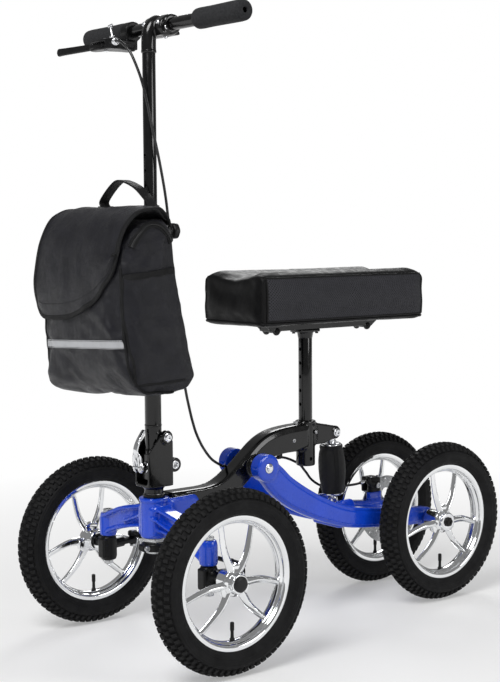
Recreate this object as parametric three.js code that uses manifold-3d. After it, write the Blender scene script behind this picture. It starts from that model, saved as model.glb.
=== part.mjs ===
// A four-wheeled knee scooter with steered front wheels, a sprung rear swing arm and a folding stem.
// Millimetres. +X is forward, +Y is the rider's left, +Z is up. The origin is on the ground, midway
// between the axles, on the centre plane.
import * as THREE from 'three';
import { mergeVertices } from 'three/addons/utils/BufferGeometryUtils.js';
import Module from 'manifold-3d';

const wasm = await Module();
wasm.setup();

// ---------------------------------------------------------------- driving dimensions
const WHEEL_R = 155; // outer radius of a tyre, nominal 12 1/2 x 2 1/4
const TYRE_HALF = 27; // half the width of a tyre
const RIM_R = 112.5; // edge of the rim's flange
const RIM_HALF = 15; // half the width of the rim over its flanges
const RIM_INNER_R = 97; // inner face of the rim, where the spokes end
const WHEELBASE = 613.4;
const FRONT_TRACK = 420;
const REAR_TRACK = 184;
const AXLE_R = 6;
const SPOKE_ANGLES = [13, -25.5, -99, -138, -224, -255.5]; // degrees from straight up, three pairs

const AXLE_X = WHEELBASE / 2;
const AXLE_Z = WHEEL_R;
const STEER_X = 313; // steering axis, which is also the axis of the stem
const STEERER_R = 15;
const HEAD_R = 24;
const HEAD_Z = [196, 266];
const KING_X = 310; // kingpins, on which the front wheels swivel
const KING_Y = 152;
const KING_R = 6;
const ARM_BACK = 60; // length of the pitman arm and of both knuckle arms
const ARM_OUT = 10; // sideways offset of each ball, the same on pitman and knuckle
const ROD_Z = 166; // height of the tie rods

const FOLD = { x: 300, z: 371 }; // axis of the stem's folding hinge
const BRACKET_X = [287, 338]; // depth of the folding bracket
const FOOT_HALF = 16.6; // half the width of the stem's foot, between the bracket's walls
const DRAW_Z = 320; // height of the draw bolt that clamps the foot
const LEVER_X = 342; // pivot of the quick-release lever
const STEM_R = 14.5;
const STEM_Z = [296, 744];
const MAST_R = 11.3;
const MAST_Z = [560, 1052];
const KNOB_Z = 727;
const BAR = { x: 285, z: 1076, r: 11, half: 226 };
const GRIP = { r: 17, from: 104, to: 229 };
const LEVER_PIVOT = { x: 336, y: -97, z: 1050 };
const LATCH = { x: 336, y: -76 };

const BAG = { x: [333, 445], half: 118, z: [462, 752], wall: 3 };
const FLAP_BACK_X = 340;

const SPINE_HALF = 18; // half the width of the main frame's spine
const PIVOT = { x: 102, z: 299.5 }; // axis of the swing arm
const SEAT_X = -36.5;
const SEAT_TUBE = { r: 18, z: [283, 368] };
const POST_R = 13;
const POST_Z = [300, 526];
const RAIL = { x: [-212, 60], half: 16, z: [531, 546], brackets: [44, -184] };
const PAD = { x: [-263, 135], half: 88, z: [567, 653] };

const ARM_Y = [38, 57]; // inner and outer face of each swing-arm beam
const SHOCK_TOP = new THREE.Vector3(-99.8, 0, 341);
const SHOCK_FOOT = new THREE.Vector3(-108, 0, 195);
const ROTOR = { r: 68, inner: 9, y: [-63.6, -60.6] };

const SPRING_SIDES = 8; // straight steps in one turn of the spring
const GAP = 0.3; // between pieces that rest on or are cut round each other
const RUN = 0.05; // radial clearance of a running fit

// ---------------------------------------------------------------- materials
function paint(color, roughness, metalness) {
  return new THREE.MeshStandardMaterial({ color, roughness, metalness });
}

const BLUE = paint('#1f3fd0', 0.25, 0.3);
const BLACK = paint('#0c0c0e', 0.3, 0.4);
const CHROME = paint('#d6d8dc', 0.12, 1.0);
const STEEL = paint('#b4b7bb', 0.35, 1.0);
const RUBBER = paint('#1b1b1c', 0.85, 0.0);
const PLASTIC = paint('#111112', 0.5, 0.0);
const FOAM = paint('#2b2c2f', 0.9, 0.0);
const NYLON = paint('#1d1e22', 0.8, 0.0);
const VINYL = paint('#161617', 0.6, 0.0);
const PLYWOOD = paint('#6b5236', 0.8, 0.0);

// ---------------------------------------------------------------- shape helpers
const V3 = (x, y, z) => new THREE.Vector3(x, y, z);

// A closed solid from a geometry. A geometry that comes inside out is turned the right way.
function solid(geometry) {
  const bare = geometry.clone();
  bare.deleteAttribute('normal');
  bare.deleteAttribute('uv');
  const merged = mergeVertices(bare, 1e-4);
  const vertProperties = new Float32Array(merged.attributes.position.array);
  const triVerts = new Uint32Array(merged.index.array);
  if (signedVolume(vertProperties, triVerts) < 0) {
    for (let i = 0; i < triVerts.length; i += 3) {
      [triVerts[i], triVerts[i + 1]] = [triVerts[i + 1], triVerts[i]];
    }
  }
  return new wasm.Manifold(new wasm.Mesh({ numProp: 3, vertProperties, triVerts }));
}

function signedVolume(vertices, triangles) {
  const corner = (i) => new THREE.Vector3().fromArray(vertices, 3 * triangles[i]);
  let sum = 0;
  for (let i = 0; i < triangles.length; i += 3) {
    sum += corner(i).dot(corner(i + 1).cross(corner(i + 2)));
  }
  return sum;
}

function join(first, ...others) {
  return others.reduce((whole, piece) => whole.add(piece), first);
}

function cut(first, ...others) {
  return others.reduce((whole, piece) => whole.subtract(piece), first);
}

function box([x0, x1], [y0, y1], [z0, z1]) {
  const geometry = new THREE.BoxGeometry(Math.abs(x1 - x0), Math.abs(y1 - y0), Math.abs(z1 - z0));
  geometry.translate((x0 + x1) / 2, (y0 + y1) / 2, (z0 + z1) / 2);
  return solid(geometry);
}

// A round bar between two points. A cone where the second radius differs.
function rod(from, to, r, sides = 12, rEnd = r) {
  const along = to.clone().sub(from);
  const geometry = new THREE.CylinderGeometry(rEnd, r, along.length(), sides);
  const turn = new THREE.Quaternion().setFromUnitVectors(V3(0, 1, 0), along.clone().normalize());
  geometry.applyQuaternion(turn);
  geometry.translate(...from.clone().add(to).multiplyScalar(0.5).toArray());
  return solid(geometry);
}

const rodX = ([x0, x1], y, z, r, sides) => rod(V3(x0, y, z), V3(x1, y, z), r, sides);
const rodY = (x, [y0, y1], z, r, sides) => rod(V3(x, y0, z), V3(x, y1, z), r, sides);
const rodZ = (x, y, [z0, z1], r, sides) => rod(V3(x, y, z0), V3(x, y, z1), r, sides);

// Radius of a many-sided hole whose flats clear a round bar of radius r.
const hole = (r, clearance = RUN, sides = 12) => (r + clearance) / Math.cos(Math.PI / sides);

function extrude(points, from, to, basis) {
  const shape = new THREE.Shape(points.map(([u, v]) => new THREE.Vector2(u, v)));
  const geometry = new THREE.ExtrudeGeometry(shape, { depth: Math.abs(to - from), bevelEnabled: false });
  geometry.translate(0, 0, Math.min(from, to));
  geometry.applyMatrix4(basis);
  return solid(geometry);
}

// Outline in x and z, extruded from one y to another.
function plateY(points, [y0, y1]) {
  const basis = new THREE.Matrix4().makeBasis(V3(1, 0, 0), V3(0, 0, 1), V3(0, -1, 0));
  return extrude(points, -y0, -y1, basis);
}

// Outline in y and z, extruded from one x to another.
function plateX(points, [x0, x1]) {
  const basis = new THREE.Matrix4().makeBasis(V3(0, 1, 0), V3(0, 0, 1), V3(1, 0, 0));
  return extrude(points, x0, x1, basis);
}

// Outline in x and y, extruded from one z to another.
function plateZ(points, [z0, z1]) {
  return extrude(points, z0, z1, new THREE.Matrix4());
}

// A smooth line through a few points, as a list of more points.
function smooth(points, count) {
  const curve = new THREE.SplineCurve(points.map(([u, v]) => new THREE.Vector2(u, v)));
  return curve.getPoints(count).map((p) => [p.x, p.y]);
}

// The arc of a circle, in degrees, both ends included.
function arc(u, v, r, from, to, count) {
  return Array.from({ length: count + 1 }, (_, i) => {
    const angle = THREE.MathUtils.degToRad(from + ((to - from) * i) / count);
    return [u + r * Math.cos(angle), v + r * Math.sin(angle)];
  });
}

// A closed profile of [radius, height] turned about the Y axis.
function lathe(profile, sides) {
  const closed = [...profile, profile[0]].map(([r, y]) => new THREE.Vector2(r, y));
  return solid(new THREE.LatheGeometry(closed, sides));
}

function sweep(points, r, steps, sides = 6) {
  const ring = arc(0, 0, r, 0, 360 - 360 / sides, sides - 1);
  const circle = new THREE.Shape(ring.map((p) => new THREE.Vector2(...p)));
  const path = new THREE.CatmullRomCurve3(points.map((p) => V3(...p)));
  return solid(new THREE.ExtrudeGeometry(circle, { steps, bevelEnabled: false, extrudePath: path }));
}

function named(name, material, shape) {
  const { vertProperties, triVerts } = shape.getMesh();
  const geometry = new THREE.BufferGeometry();
  geometry.setAttribute('position', new THREE.BufferAttribute(vertProperties, 3));
  geometry.setIndex(new THREE.BufferAttribute(triVerts, 1));
  geometry.computeVertexNormals();
  const mesh = new THREE.Mesh(geometry, material);
  mesh.name = name;
  return mesh;
}

// ---------------------------------------------------------------- wheels, about their own centre
// The axle runs along Y, and the outer side of the wheel is +Y.
function tyre() {
  const centre = WHEEL_R - TYRE_HALF;
  const bead = RIM_R - 4.5;
  const lip = RIM_HALF - 3.2;
  const outside = arc(centre, 0, TYRE_HALF, -117, 117, 6);
  const inside = arc(centre, 0, TYRE_HALF - 5, 120, -120, 3);
  const foot = (side) => [
    [RIM_R + 1, side * lip], [bead, side * lip],
    [bead, side * 8], [RIM_R + 1, side * 8],
  ];
  return lathe([...outside, ...foot(1), ...inside, ...foot(-1).reverse()], 24);
}

function rim(hubInner, hubOuter) {
  const well = RIM_R - 7;
  const inside = RIM_HALF - 2.4;
  const hoop = lathe([[RIM_R, RIM_HALF], [RIM_R, inside], [well, inside], [well, -inside], [RIM_R, -inside],
    [RIM_R, -RIM_HALF], [RIM_INNER_R, -RIM_HALF + 1.5], [RIM_INNER_R, RIM_HALF - 1.5]], 24);
  const barrel = rodY(0, [hubInner, hubOuter - 7], 0, 19);
  const nose = rodY(0, [hubOuter - 8, hubOuter], 0, 16);
  const spokes = SPOKE_ANGLES.map(spoke);
  return cut(join(hoop, barrel, nose, ...spokes), rodY(0, [hubInner - 1, hubOuter + 1], 0, hole(AXLE_R)));
}

function spoke(angle) {
  const blade = new THREE.BoxGeometry(15, 9, RIM_INNER_R - 13);
  blade.translate(0, 0, 14 + (RIM_INNER_R - 13) / 2);
  blade.rotateY(THREE.MathUtils.degToRad(angle));
  return solid(blade);
}

function valve() {
  return rod(V3(0, 0, -RIM_INNER_R + 1.2), V3(0, 0, -RIM_INNER_R + 30), 3.2, 8);
}

function hubCap(hubOuter) {
  return lathe([[0.001, hubOuter + GAP], [13.5, hubOuter + GAP], [13.5, hubOuter + 2], [10, hubOuter + 4],
    [0.001, hubOuter + 4.6]], 12);
}

function wheel(name, x, y, hubInner, hubOuter, capped) {
  const group = new THREE.Group();
  group.position.set(x, y, AXLE_Z);
  group.rotation.z = y > 0 ? 0 : Math.PI;
  group.add(named(`${name}_tyre`, RUBBER, tyre()));
  group.add(named(`${name}_rim`, CHROME, rim(hubInner, hubOuter)));
  group.add(named(`${name}_valve`, RUBBER, valve()));
  if (capped) group.add(named(`${name}_hub_cap`, PLASTIC, hubCap(hubOuter)));
  return group;
}

function wheels() {
  const group = new THREE.Group();
  group.add(wheel('left_front', AXLE_X, FRONT_TRACK / 2, -20, 23, true));
  group.add(wheel('right_front', AXLE_X, -FRONT_TRACK / 2, -20, 23, true));
  group.add(wheel('left_rear', -AXLE_X, REAR_TRACK / 2, -28, 19, false));
  group.add(wheel('right_rear', -AXLE_X, -REAR_TRACK / 2, -28, 19, false));
  return group;
}

// ---------------------------------------------------------------- front yoke and steering linkage
function frontYoke() {
  const cheek = [[300, 264], [240, 266], [224, 240], [232, 206], [300, 204]];
  const arm = [[-KING_Y, 213], [-96, 233], [-48, 244], [0, 250], [48, 244], [96, 233], [KING_Y, 213],
    [KING_Y, 178], [96, 199], [48, 210], [0, 214], [-48, 210], [-96, 199], [-KING_Y, 178]];
  const body = join(
    rodZ(STEER_X, 0, HEAD_Z, HEAD_R, 20),
    plateY(cheek, [SPINE_HALF + GAP, HEAD_R]),
    plateY(cheek, [-HEAD_R, -SPINE_HALF - GAP]),
    box([232, 300], [-HEAD_R, HEAD_R], [204, 211]),
    plateX(arm, [KING_X - 14, KING_X + 16]),
    ...[-1, 1].map((side) => rodZ(KING_X, side * KING_Y, [172.3, 213], 14.5)),
  );
  return cut(
    body,
    rodZ(STEER_X, 0, [180, 280], hole(STEERER_R, 2)),
    ...[-1, 1].map((side) => rodZ(KING_X, side * KING_Y, [160, 220], hole(KING_R))),
    ...[-1, 1].map((side) => rodZ(KING_X, side * KING_Y, [213, 222], 14.5)),
  );
}

function headBearing(z0, z1, r) {
  return cut(rodZ(STEER_X, 0, [z0, z1], r), rodZ(STEER_X, 0, [z0 - 1, z1 + 1], hole(STEERER_R)));
}

// An arm of constant width between two points, seen from above.
function capsule([x0, y0], [x1, y1], r) {
  const heading = THREE.MathUtils.radToDeg(Math.atan2(y1 - y0, x1 - x0));
  const far = arc(x1, y1, r, heading - 90, heading + 90, 4);
  const near = arc(x0, y0, r, heading + 90, heading + 270, 4);
  return [...far, ...near];
}

function pitmanArm() {
  const balls = [-1, 1].map((side) => [STEER_X - ARM_BACK, side * ARM_OUT]);
  const studs = balls.map(([x, y]) => rodZ(x, y, [ROD_Z - 5.5, 173], 4, 12));
  const plates = balls.map((ball) => plateZ(capsule([STEER_X, 0], ball, 9), [172, 180]));
  const clamp = rodZ(STEER_X, 0, [172, 186], 22);
  return cut(join(clamp, ...plates, ...studs), rodZ(STEER_X, 0, [160, 190], hole(STEERER_R, GAP)));
}

function knuckle(side) {
  const y = side * KING_Y;
  const ball = [KING_X - ARM_BACK, y + side * ARM_OUT];
  const body = join(
    rodZ(KING_X, y, [128, 172], 14),
    rodY(AXLE_X, [y, side * (FRONT_TRACK / 2 - 20.4)], AXLE_Z, 10),
    rodY(AXLE_X, [y, side * (FRONT_TRACK / 2 + 21)], AXLE_Z, AXLE_R),
    plateZ(capsule([KING_X, y], ball, 8), [150, 159]),
    rodZ(...ball, [152, 171.5], 3.5, 12),
  );
  return cut(body, rodZ(KING_X, y, [120, 180], hole(KING_R, GAP)));
}

function kingpin(side) {
  const y = side * KING_Y;
  return join(
    rodZ(KING_X, y, [122, 217], KING_R),
    rodZ(KING_X, y, [213 + GAP, 219], 10, 6),
    rodZ(KING_X, y, [121, 128 - GAP], 9.5, 6),
  );
}

// The inner eye runs on the pitman stud. The outer eye is the open pivot, so it is wider than its stud.
function tieRod(side) {
  const inner = [STEER_X - ARM_BACK, side * ARM_OUT];
  const outer = [KING_X - ARM_BACK, side * (KING_Y + ARM_OUT)];
  const height = [ROD_Z - 4.5, ROD_Z + 4.5];
  const body = join(
    rodZ(...inner, height, 8),
    rodZ(...outer, height, 8.5),
    rod(V3(...inner, ROD_Z), V3(...outer, ROD_Z), 4, 8),
  );
  return cut(body, rodZ(...inner, [150, 180], hole(4)), rodZ(...outer, [150, 180], 5));
}

// ---------------------------------------------------------------- steerer, folding stem, handlebar
function steererBracket() {
  const [back, front] = BRACKET_X;
  const outer = FOOT_HALF + 5;
  const wall = [[back, 287], [front, 287], [front, 345], [326, 378], ...arc(FOLD.x, FOLD.z, 13, 45, 180, 4)];
  const lug = { x: 270, z: 318 };
  const body = join(
    rodZ(STEER_X, 0, [168, 288], STEERER_R),
    rodZ(STEER_X, 0, [272 + GAP, 288], 16.5),
    box(BRACKET_X, [-outer, outer], [285, 290]),
    plateY(wall, [FOOT_HALF + 0.4, outer]),
    plateY(wall, [-outer, -FOOT_HALF - 0.4]),
    box([back - 1, back + 3.5], [-outer, outer], [285, 364]),
    rodY(lug.x, [-5, 5], lug.z, 12.5),
    box([lug.x, back], [-5, 5], [lug.z - 7, lug.z + 7]),
  );
  return cut(body, rodY(FOLD.x, [-30, 30], FOLD.z, hole(5, GAP)), rodY(lug.x, [-8, 8], lug.z, 6));
}

function foldHingeBolt() {
  const face = FOOT_HALF + 5 + GAP;
  return join(
    rodY(FOLD.x, [-face - 1, face + 1], FOLD.z, 5),
    rodY(FOLD.x, [face, face + 4], FOLD.z, 8.5, 6),
    rodY(FOLD.x, [-face - 4, -face], FOLD.z, 8.5, 6),
  );
}

function stemTube() {
  const foot = [-FOOT_HALF, FOOT_HALF];
  const body = join(
    rodZ(STEER_X, 0, STEM_Z, STEM_R, 16),
    box([297, 329], foot, [STEM_Z[0], 345]),
    box([FOLD.x, STEER_X], foot, [FOLD.z - 8.5, FOLD.z + 8.5]),
    rodY(FOLD.x, foot, FOLD.z, 8.5),
    rodZ(STEER_X, 0, [712, STEM_Z[1]], 18.5),
    rodX([283, 300], 0, KNOB_Z, 9),
  );
  return cut(
    body,
    rodZ(STEER_X, 0, [392, STEM_Z[1] + 1], hole(MAST_R, RUN, 16), 16),
    rodY(FOLD.x, [-30, 30], FOLD.z, hole(5)),
    rodX([290, 340], 0, DRAW_Z, hole(3.5, GAP)),
    rodX([270, 305], 0, KNOB_Z, hole(4)),
  );
}

// The bolt hangs in the foot, with its head behind, and its thrust washer and the lever's cross pin in front.
function drawBolt() {
  return join(
    rodX([292.5, LEVER_X], 0, DRAW_Z, 3.5, 8),
    rodX([292.5, 297 - GAP], 0, DRAW_Z, 6.5, 6),
    rodX([329 + GAP, LEVER_X - 9.6], 0, DRAW_Z, 10),
    rodY(LEVER_X, [-11, 11], DRAW_Z, 4),
  );
}

function foldLever() {
  const blade = [[336, 327], [331.5, 345], [337, 366], [330, 385], [333, 389], [337.5, 386], [342, 367],
    [337.5, 346], [349, 326]];
  const cheeks = [[4.6, 10.5], [-10.5, -4.6]].map((y) => rodY(LEVER_X, y, DRAW_Z, 9));
  const bridge = plateY(blade, [-10.5, 10.5]);
  const clearance = rodY(LEVER_X, [-4.6, 4.6], DRAW_Z, 9.6);
  const lever = cut(bridge, clearance).add(cheeks[0]).add(cheeks[1]);
  return cut(lever, rodY(LEVER_X, [-12, 12], DRAW_Z, hole(4)));
}

function heightKnob() {
  return join(
    rodX([270, STEER_X - MAST_R - 0.4], 0, KNOB_Z, 4),
    rodX([258, 271], 0, KNOB_Z, 14, 16),
    rodX([270.5, 283 - GAP], 0, KNOB_Z, 7),
  );
}

function mast() {
  const holes = Array.from({ length: 5 }, (_, i) => rodX([295, 313], 0, KNOB_Z + 25.6 * i, 3.4, 6));
  return cut(rodZ(STEER_X, 0, MAST_Z, MAST_R, 16), rodZ(STEER_X, 0, [550, 1060], 9.3, 8), ...holes);
}

function gooseneck() {
  const neck = [[STEER_X, 0, 1030], [STEER_X, 0, 1056], [306, 0, 1076], [290, 0, 1083], [280, 0, 1079]];
  const body = join(sweep(neck, 15, 8, 12), rodY(BAR.x, [-24, 24], BAR.z, 19, 16));
  return cut(
    body,
    rodZ(STEER_X, 0, [1020, MAST_Z[1] + GAP], hole(MAST_R, GAP)),
    rodY(BAR.x, [-30, 30], BAR.z, hole(BAR.r, GAP)),
  );
}

function handlebar() {
  const tube = rodY(BAR.x, [-BAR.half, BAR.half], BAR.z, BAR.r, 16);
  return cut(tube, rodY(BAR.x, [-BAR.half - 1, BAR.half + 1], BAR.z, 9, 8));
}

function grip(side) {
  const sleeve = rodY(BAR.x, [side * GRIP.from, side * GRIP.to], BAR.z, GRIP.r, 16);
  const bore = rodY(BAR.x, [side * (GRIP.from - 1), side * (BAR.half + GAP)], BAR.z, hole(BAR.r, GAP));
  return cut(sleeve, bore, rodY(BAR.x, [side * 220, side * 232], BAR.z, 5, 8));
}

function brakeBracket() {
  const { x, y, z } = LEVER_PIVOT;
  const outline = [[BAR.x, -80], [302, -78], [332, -64], [346, -66], [351, y], [348, y - 33], [334, y - 36],
    [326, y - 14], [304, -103.5], [BAR.x, -103.5]];
  const body = join(
    rodY(BAR.x, [-103.5, -84], BAR.z, 17.5),
    plateZ(outline, [z - 9, z + 9]),
    box([BAR.x - 6, BAR.x + 14], [-103.5, -84], [z - 9, BAR.z - 6]),
  );
  const slot = box([312, 356], [y - 45, y + 14], [z - 5.5, z + 5.5]);
  const bore = rodY(BAR.x, [-110, -78], BAR.z, hole(BAR.r, GAP));
  return cut(body, slot, bore).add(rodZ(x, y, [z - 7, z + 7], 3, 12));
}

function brakeLever() {
  const { x, y, z } = LEVER_PIVOT;
  const root = [[x - 5, y - 2], [x - 3, y - 44], [x + 7, y - 44], [x + 7, y - 14], [x + 5, y]];
  const blade = [[x - 3, y - 39], [x + 1, y - 90], [x + 5, y - 144], [x + 9, y - 146], [x + 11, y - 142],
    [x + 8, y - 90], [x + 7, y - 39]];
  const body = join(
    rodZ(x, y, [z - 5, z + 5], 8),
    plateZ(root, [z - 5, z + 5]),
    plateZ(blade, [z - 7, z + 7]),
  );
  return cut(body, rodZ(x, y, [z - 10, z + 10], hole(3)));
}

function parkingLatch() {
  const top = LEVER_PIVOT.z + 9 + GAP;
  return join(
    rodZ(LATCH.x, LATCH.y, [top, top + 4], 5, 12),
    rod(V3(LATCH.x, LATCH.y, top + 2), V3(LATCH.x - 2, LATCH.y - 9, top + 22), 2, 8),
    rod(V3(LATCH.x - 2, LATCH.y - 15, top + 22), V3(LATCH.x - 2, LATCH.y - 3, top + 24), 2.2, 8),
  );
}

function cableUpper() {
  return sweep([[345, -45, 1052], [348, -30, 1047], [345, -10, 1030], [340, 4, 1002], [336, 13, 976],
    [330, 19, 941], [323, 21, 900], [317, 23, 865], [311, 27, 829], [307, 29, 800]], 2.4, 10, 5);
}

// ---------------------------------------------------------------- bag
function bagBody() {
  const corner = (y, z, start) => arc(y, z, 30, start, start + 90, 4);
  const { half, wall } = BAG;
  const outline = [...corner(half - 30, BAG.z[0] + 30, -90), [half, 690], [96, 735], [50, BAG.z[1]],
    [-50, BAG.z[1]], [-96, 735], [-half, 690], ...corner(-half + 30, BAG.z[0] + 30, 180)];
  const inner = outline.map(([y, z]) => [y * (1 - wall / half), z > 680 ? z + 20 : z + wall]);
  return cut(plateX(outline, BAG.x), plateX(inner, [BAG.x[0] + wall, BAG.x[1] - wall]));
}

function bagFlap() {
  const front = BAG.x[1] + GAP;
  const face = [[-104, 728], [-50, BAG.z[1] + 4], [50, BAG.z[1] + 4], [104, 728], [108, 640],
    ...smooth([[108, 640], [88, 590], [0, 566], [-88, 590], [-108, 640]], 10).slice(1)];
  return join(
    plateX(face, [front, front + 4]),
    box([FLAP_BACK_X, front + 4], [-50, 50], [BAG.z[1] + GAP, BAG.z[1] + 4]),
  );
}

// ---------------------------------------------------------------- main frame and seat
function spineOutline(inset) {
  const ridge = [[285, 272], [235, 272], [186, 275], [136, 306], [77, 349], [31, 362], [-36, 364]];
  const top = smooth(ridge, 12);
  const bottom = smooth([[-36, 313], [20, 313], [60, 308], [100, 284], [140, 252], [190, 226], [235, 216],
    [285, 213]], 12);
  return [...top.map(([x, z]) => [x, z - inset]), ...bottom.map(([x, z]) => [x, z + inset])];
}

function mainFrame() {
  const wall = 3;
  const eye = arc(SHOCK_TOP.x, SHOCK_TOP.z, 13, -70, -270, 5);
  const lug = [[-36, 325], [-92, 328], ...eye, [-50, 364], [-36, 366]];
  const cavity = cut(
    plateY(spineOutline(wall), [-SPINE_HALF + wall, SPINE_HALF - wall]),
    box([-60, -10], [-30, 30], [250, 400]),
    rodY(PIVOT.x, [-30, 30], PIVOT.z, 14),
  );
  const mouth = box([280, 290], [-SPINE_HALF + wall, SPINE_HALF - wall], [216, 269]);
  const shell = cut(plateY(spineOutline(0), [-SPINE_HALF, SPINE_HALF]), cavity, mouth);
  const clearHead = rodZ(STEER_X, 0, [190, 290], HEAD_R + GAP + 0.3, 20);
  const body = join(
    cut(shell, clearHead),
    rodY(PIVOT.x, [-ARM_Y[0] + 2.5, ARM_Y[0] - 2.5], PIVOT.z, 14),
    rodZ(SEAT_X, 0, SEAT_TUBE.z, SEAT_TUBE.r, 20),
    plateY(lug, [11.5, 16]),
    plateY(lug, [-16, -11.5]),
    rodY(SEAT_X, [-26, -12], 340, 9),
  );
  return cut(
    body,
    rodZ(SEAT_X, 0, [270, 380], hole(POST_R, 0.08, 20), 20),
    rodY(PIVOT.x, [-50, 50], PIVOT.z, hole(8, GAP)),
    rodY(SHOCK_TOP.x, [-20, 20], SHOCK_TOP.z, hole(4, GAP)),
    rodY(SEAT_X, [-30, -10], 340, hole(4)),
  );
}

function pivotShaft() {
  return join(
    rodY(PIVOT.x, [-61.5, 61.5], PIVOT.z, 8),
    rodY(PIVOT.x, [59.8, 62.5], PIVOT.z, 11, 6),
    rodY(PIVOT.x, [-62.5, -59.8], PIVOT.z, 11, 6),
  );
}

function seatPost() {
  const holes = Array.from({ length: 5 }, (_, i) => rodX([-60, SEAT_X], 0, 400 + 26 * i, 3.4, 6));
  const post = rodZ(SEAT_X, 0, POST_Z, POST_R, 20);
  const flange = box([SEAT_X - 24, SEAT_X + 24], [-20, 20], [POST_Z[1] - 1, RAIL.z[0] - GAP]);
  return cut(join(post, flange), rodZ(SEAT_X, 0, [290, 515], 10.5, 8), ...holes);
}

function seatKnob() {
  return join(
    rodY(SEAT_X, [-31, -POST_R - 0.4], 340, 4),
    rodY(SEAT_X, [-44, -30], 340, 14, 16),
  );
}

function padRail() {
  const top = PAD.z[0] - 8 - GAP;
  const bracket = (x) => [[x - 24, RAIL.z[1] - 2], [x + 24, RAIL.z[1] - 2], [x + 34, top], [x - 34, top]];
  const channel = cut(
    box(RAIL.x, [-RAIL.half, RAIL.half], RAIL.z),
    box([RAIL.x[0] + 4, RAIL.x[1] - 4], [-RAIL.half + 3, RAIL.half - 3], [RAIL.z[0] + 4, RAIL.z[1] + 1]),
  );
  return join(channel, ...RAIL.brackets.map((x) => plateY(bracket(x), [-RAIL.half, RAIL.half])));
}

function padBoard() {
  return box([PAD.x[0] + 14, PAD.x[1] - 14], [-PAD.half + 9, PAD.half - 9], [PAD.z[0] - 8, PAD.z[0] - GAP]);
}

// The cushion, with a shallow channel for the shin along its length.
function kneePad() {
  const [bottom, top] = PAD.z;
  const edge = PAD.half - 8;
  const dish = smooth([[edge, top], [45, top - 6], [0, top - 12], [-45, top - 6], [-edge, top]], 10);
  const end = [[-PAD.half, top - 8], [-PAD.half, bottom], [PAD.half, bottom], [PAD.half, top - 8]];
  return plateX([...dish, ...end], PAD.x);
}

// ---------------------------------------------------------------- swing arm, shock and rear brake
function swingArm() {
  const crown = [[112, 322], [85, 310], [45, 275], [-36, 227], [-120, 197.5], [-186, 189], [-313, 174]];
  const top = smooth(crown, 10);
  const bottom = smooth([[-313, 144], [-250, 145], [-186, 151.5], [-120, 159], [-77, 168], [-15, 189.5],
    [46, 218], [85, 246], [112, 276]], 10);
  const heel = arc(-313, 159, 15, 90, 270, 4).slice(1, -1);
  const outline = [...top, ...heel, ...bottom];
  const lug = [[-122, 182], [-94, 182], ...arc(SHOCK_FOOT.x, SHOCK_FOOT.z, 12, 0, 180, 5)];
  const beams = [1, -1].flatMap((side) => [
    plateY(outline, [side * ARM_Y[0], side * ARM_Y[1]].sort((a, b) => a - b)),
    rodY(PIVOT.x, [side * (ARM_Y[0] - 2), side * (ARM_Y[1] + 2)], PIVOT.z, 25, 16),
  ]);
  const body = join(
    ...beams,
    box([-128, -88], [-ARM_Y[0] - 1, ARM_Y[0] + 1], [160, 184]),
    plateY(lug, [11.5, 16]),
    plateY(lug, [-16, -11.5]),
    box([-282, -248], [-ARM_Y[1], -ARM_Y[1] + 9], [165, 196]),
  );
  return cut(
    body,
    rodY(PIVOT.x, [-70, 70], PIVOT.z, hole(8)),
    rodY(-AXLE_X, [-70, 70], AXLE_Z, hole(AXLE_R, GAP)),
    rodY(SHOCK_FOOT.x, [-20, 20], SHOCK_FOOT.z, hole(4, GAP)),
  );
}

function rearAxle() {
  const end = REAR_TRACK / 2 + 19 + GAP;
  const ends = [-1, 1].flatMap((side) => [
    rodY(-AXLE_X, [side * end, side * (end + 2.4)], AXLE_Z, 18),
    rodY(-AXLE_X, [side * (end + 2), side * (end + 6.8)], AXLE_Z, 8, 6),
  ]);
  return join(rodY(-AXLE_X, [-end - 1, end + 1], AXLE_Z, AXLE_R), ...ends);
}

const SHOCK_LINE = SHOCK_FOOT.clone().sub(SHOCK_TOP).normalize();
const shockPoint = (t) => SHOCK_TOP.clone().addScaledVector(SHOCK_LINE, t);
const shockRod = (from, to, r, sides, rEnd) => rod(shockPoint(from), shockPoint(to), r, sides, rEnd);

function shockBody() {
  const body = join(
    rodY(SHOCK_TOP.x, [-11, 11], SHOCK_TOP.z, 9),
    shockRod(5, 30, 7, 8),
    shockRod(24, 28, 20),
    shockRod(27, 88, 11.5),
  );
  return cut(body, shockRod(32, 90, hole(5)), rodY(SHOCK_TOP.x, [-12, 12], SHOCK_TOP.z, hole(4)));
}

function shockShaft() {
  const body = join(
    shockRod(60, 140, 5),
    shockRod(117, 121, 20),
    rodY(SHOCK_FOOT.x, [-10.5, 10.5], SHOCK_FOOT.z, 9),
  );
  return cut(body, rodY(SHOCK_FOOT.x, [-12, 12], SHOCK_FOOT.z, 5.5));
}

function shockSpring() {
  const turns = 5;
  const steps = turns * SPRING_SIDES;
  const sideways = V3(0, 1, 0);
  const across = SHOCK_LINE.clone().cross(sideways);
  const points = Array.from({ length: steps + 1 }, (_, i) => {
    const angle = (2 * Math.PI * i) / SPRING_SIDES;
    const centre = shockPoint(31.5 + (82 * i) / steps);
    centre.addScaledVector(sideways, 16.2 * Math.cos(angle));
    return centre.addScaledVector(across, 16.2 * Math.sin(angle)).toArray();
  });
  return sweep(points, 2.4, steps, 4);
}

function shockCover() {
  const outside = join(shockRod(20, 100, 26), shockRod(99.9, 124, 26, 12, 22.5));
  return cut(outside, shockRod(19, 125, 21.5));
}

function crossBolt(centre) {
  return join(
    rodY(centre.x, [-17, 17], centre.z, 4),
    rodY(centre.x, [16 + GAP, 20], centre.z, 6.5, 6),
    rodY(centre.x, [-20, -16 - GAP], centre.z, 6.5, 6),
  );
}

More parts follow.
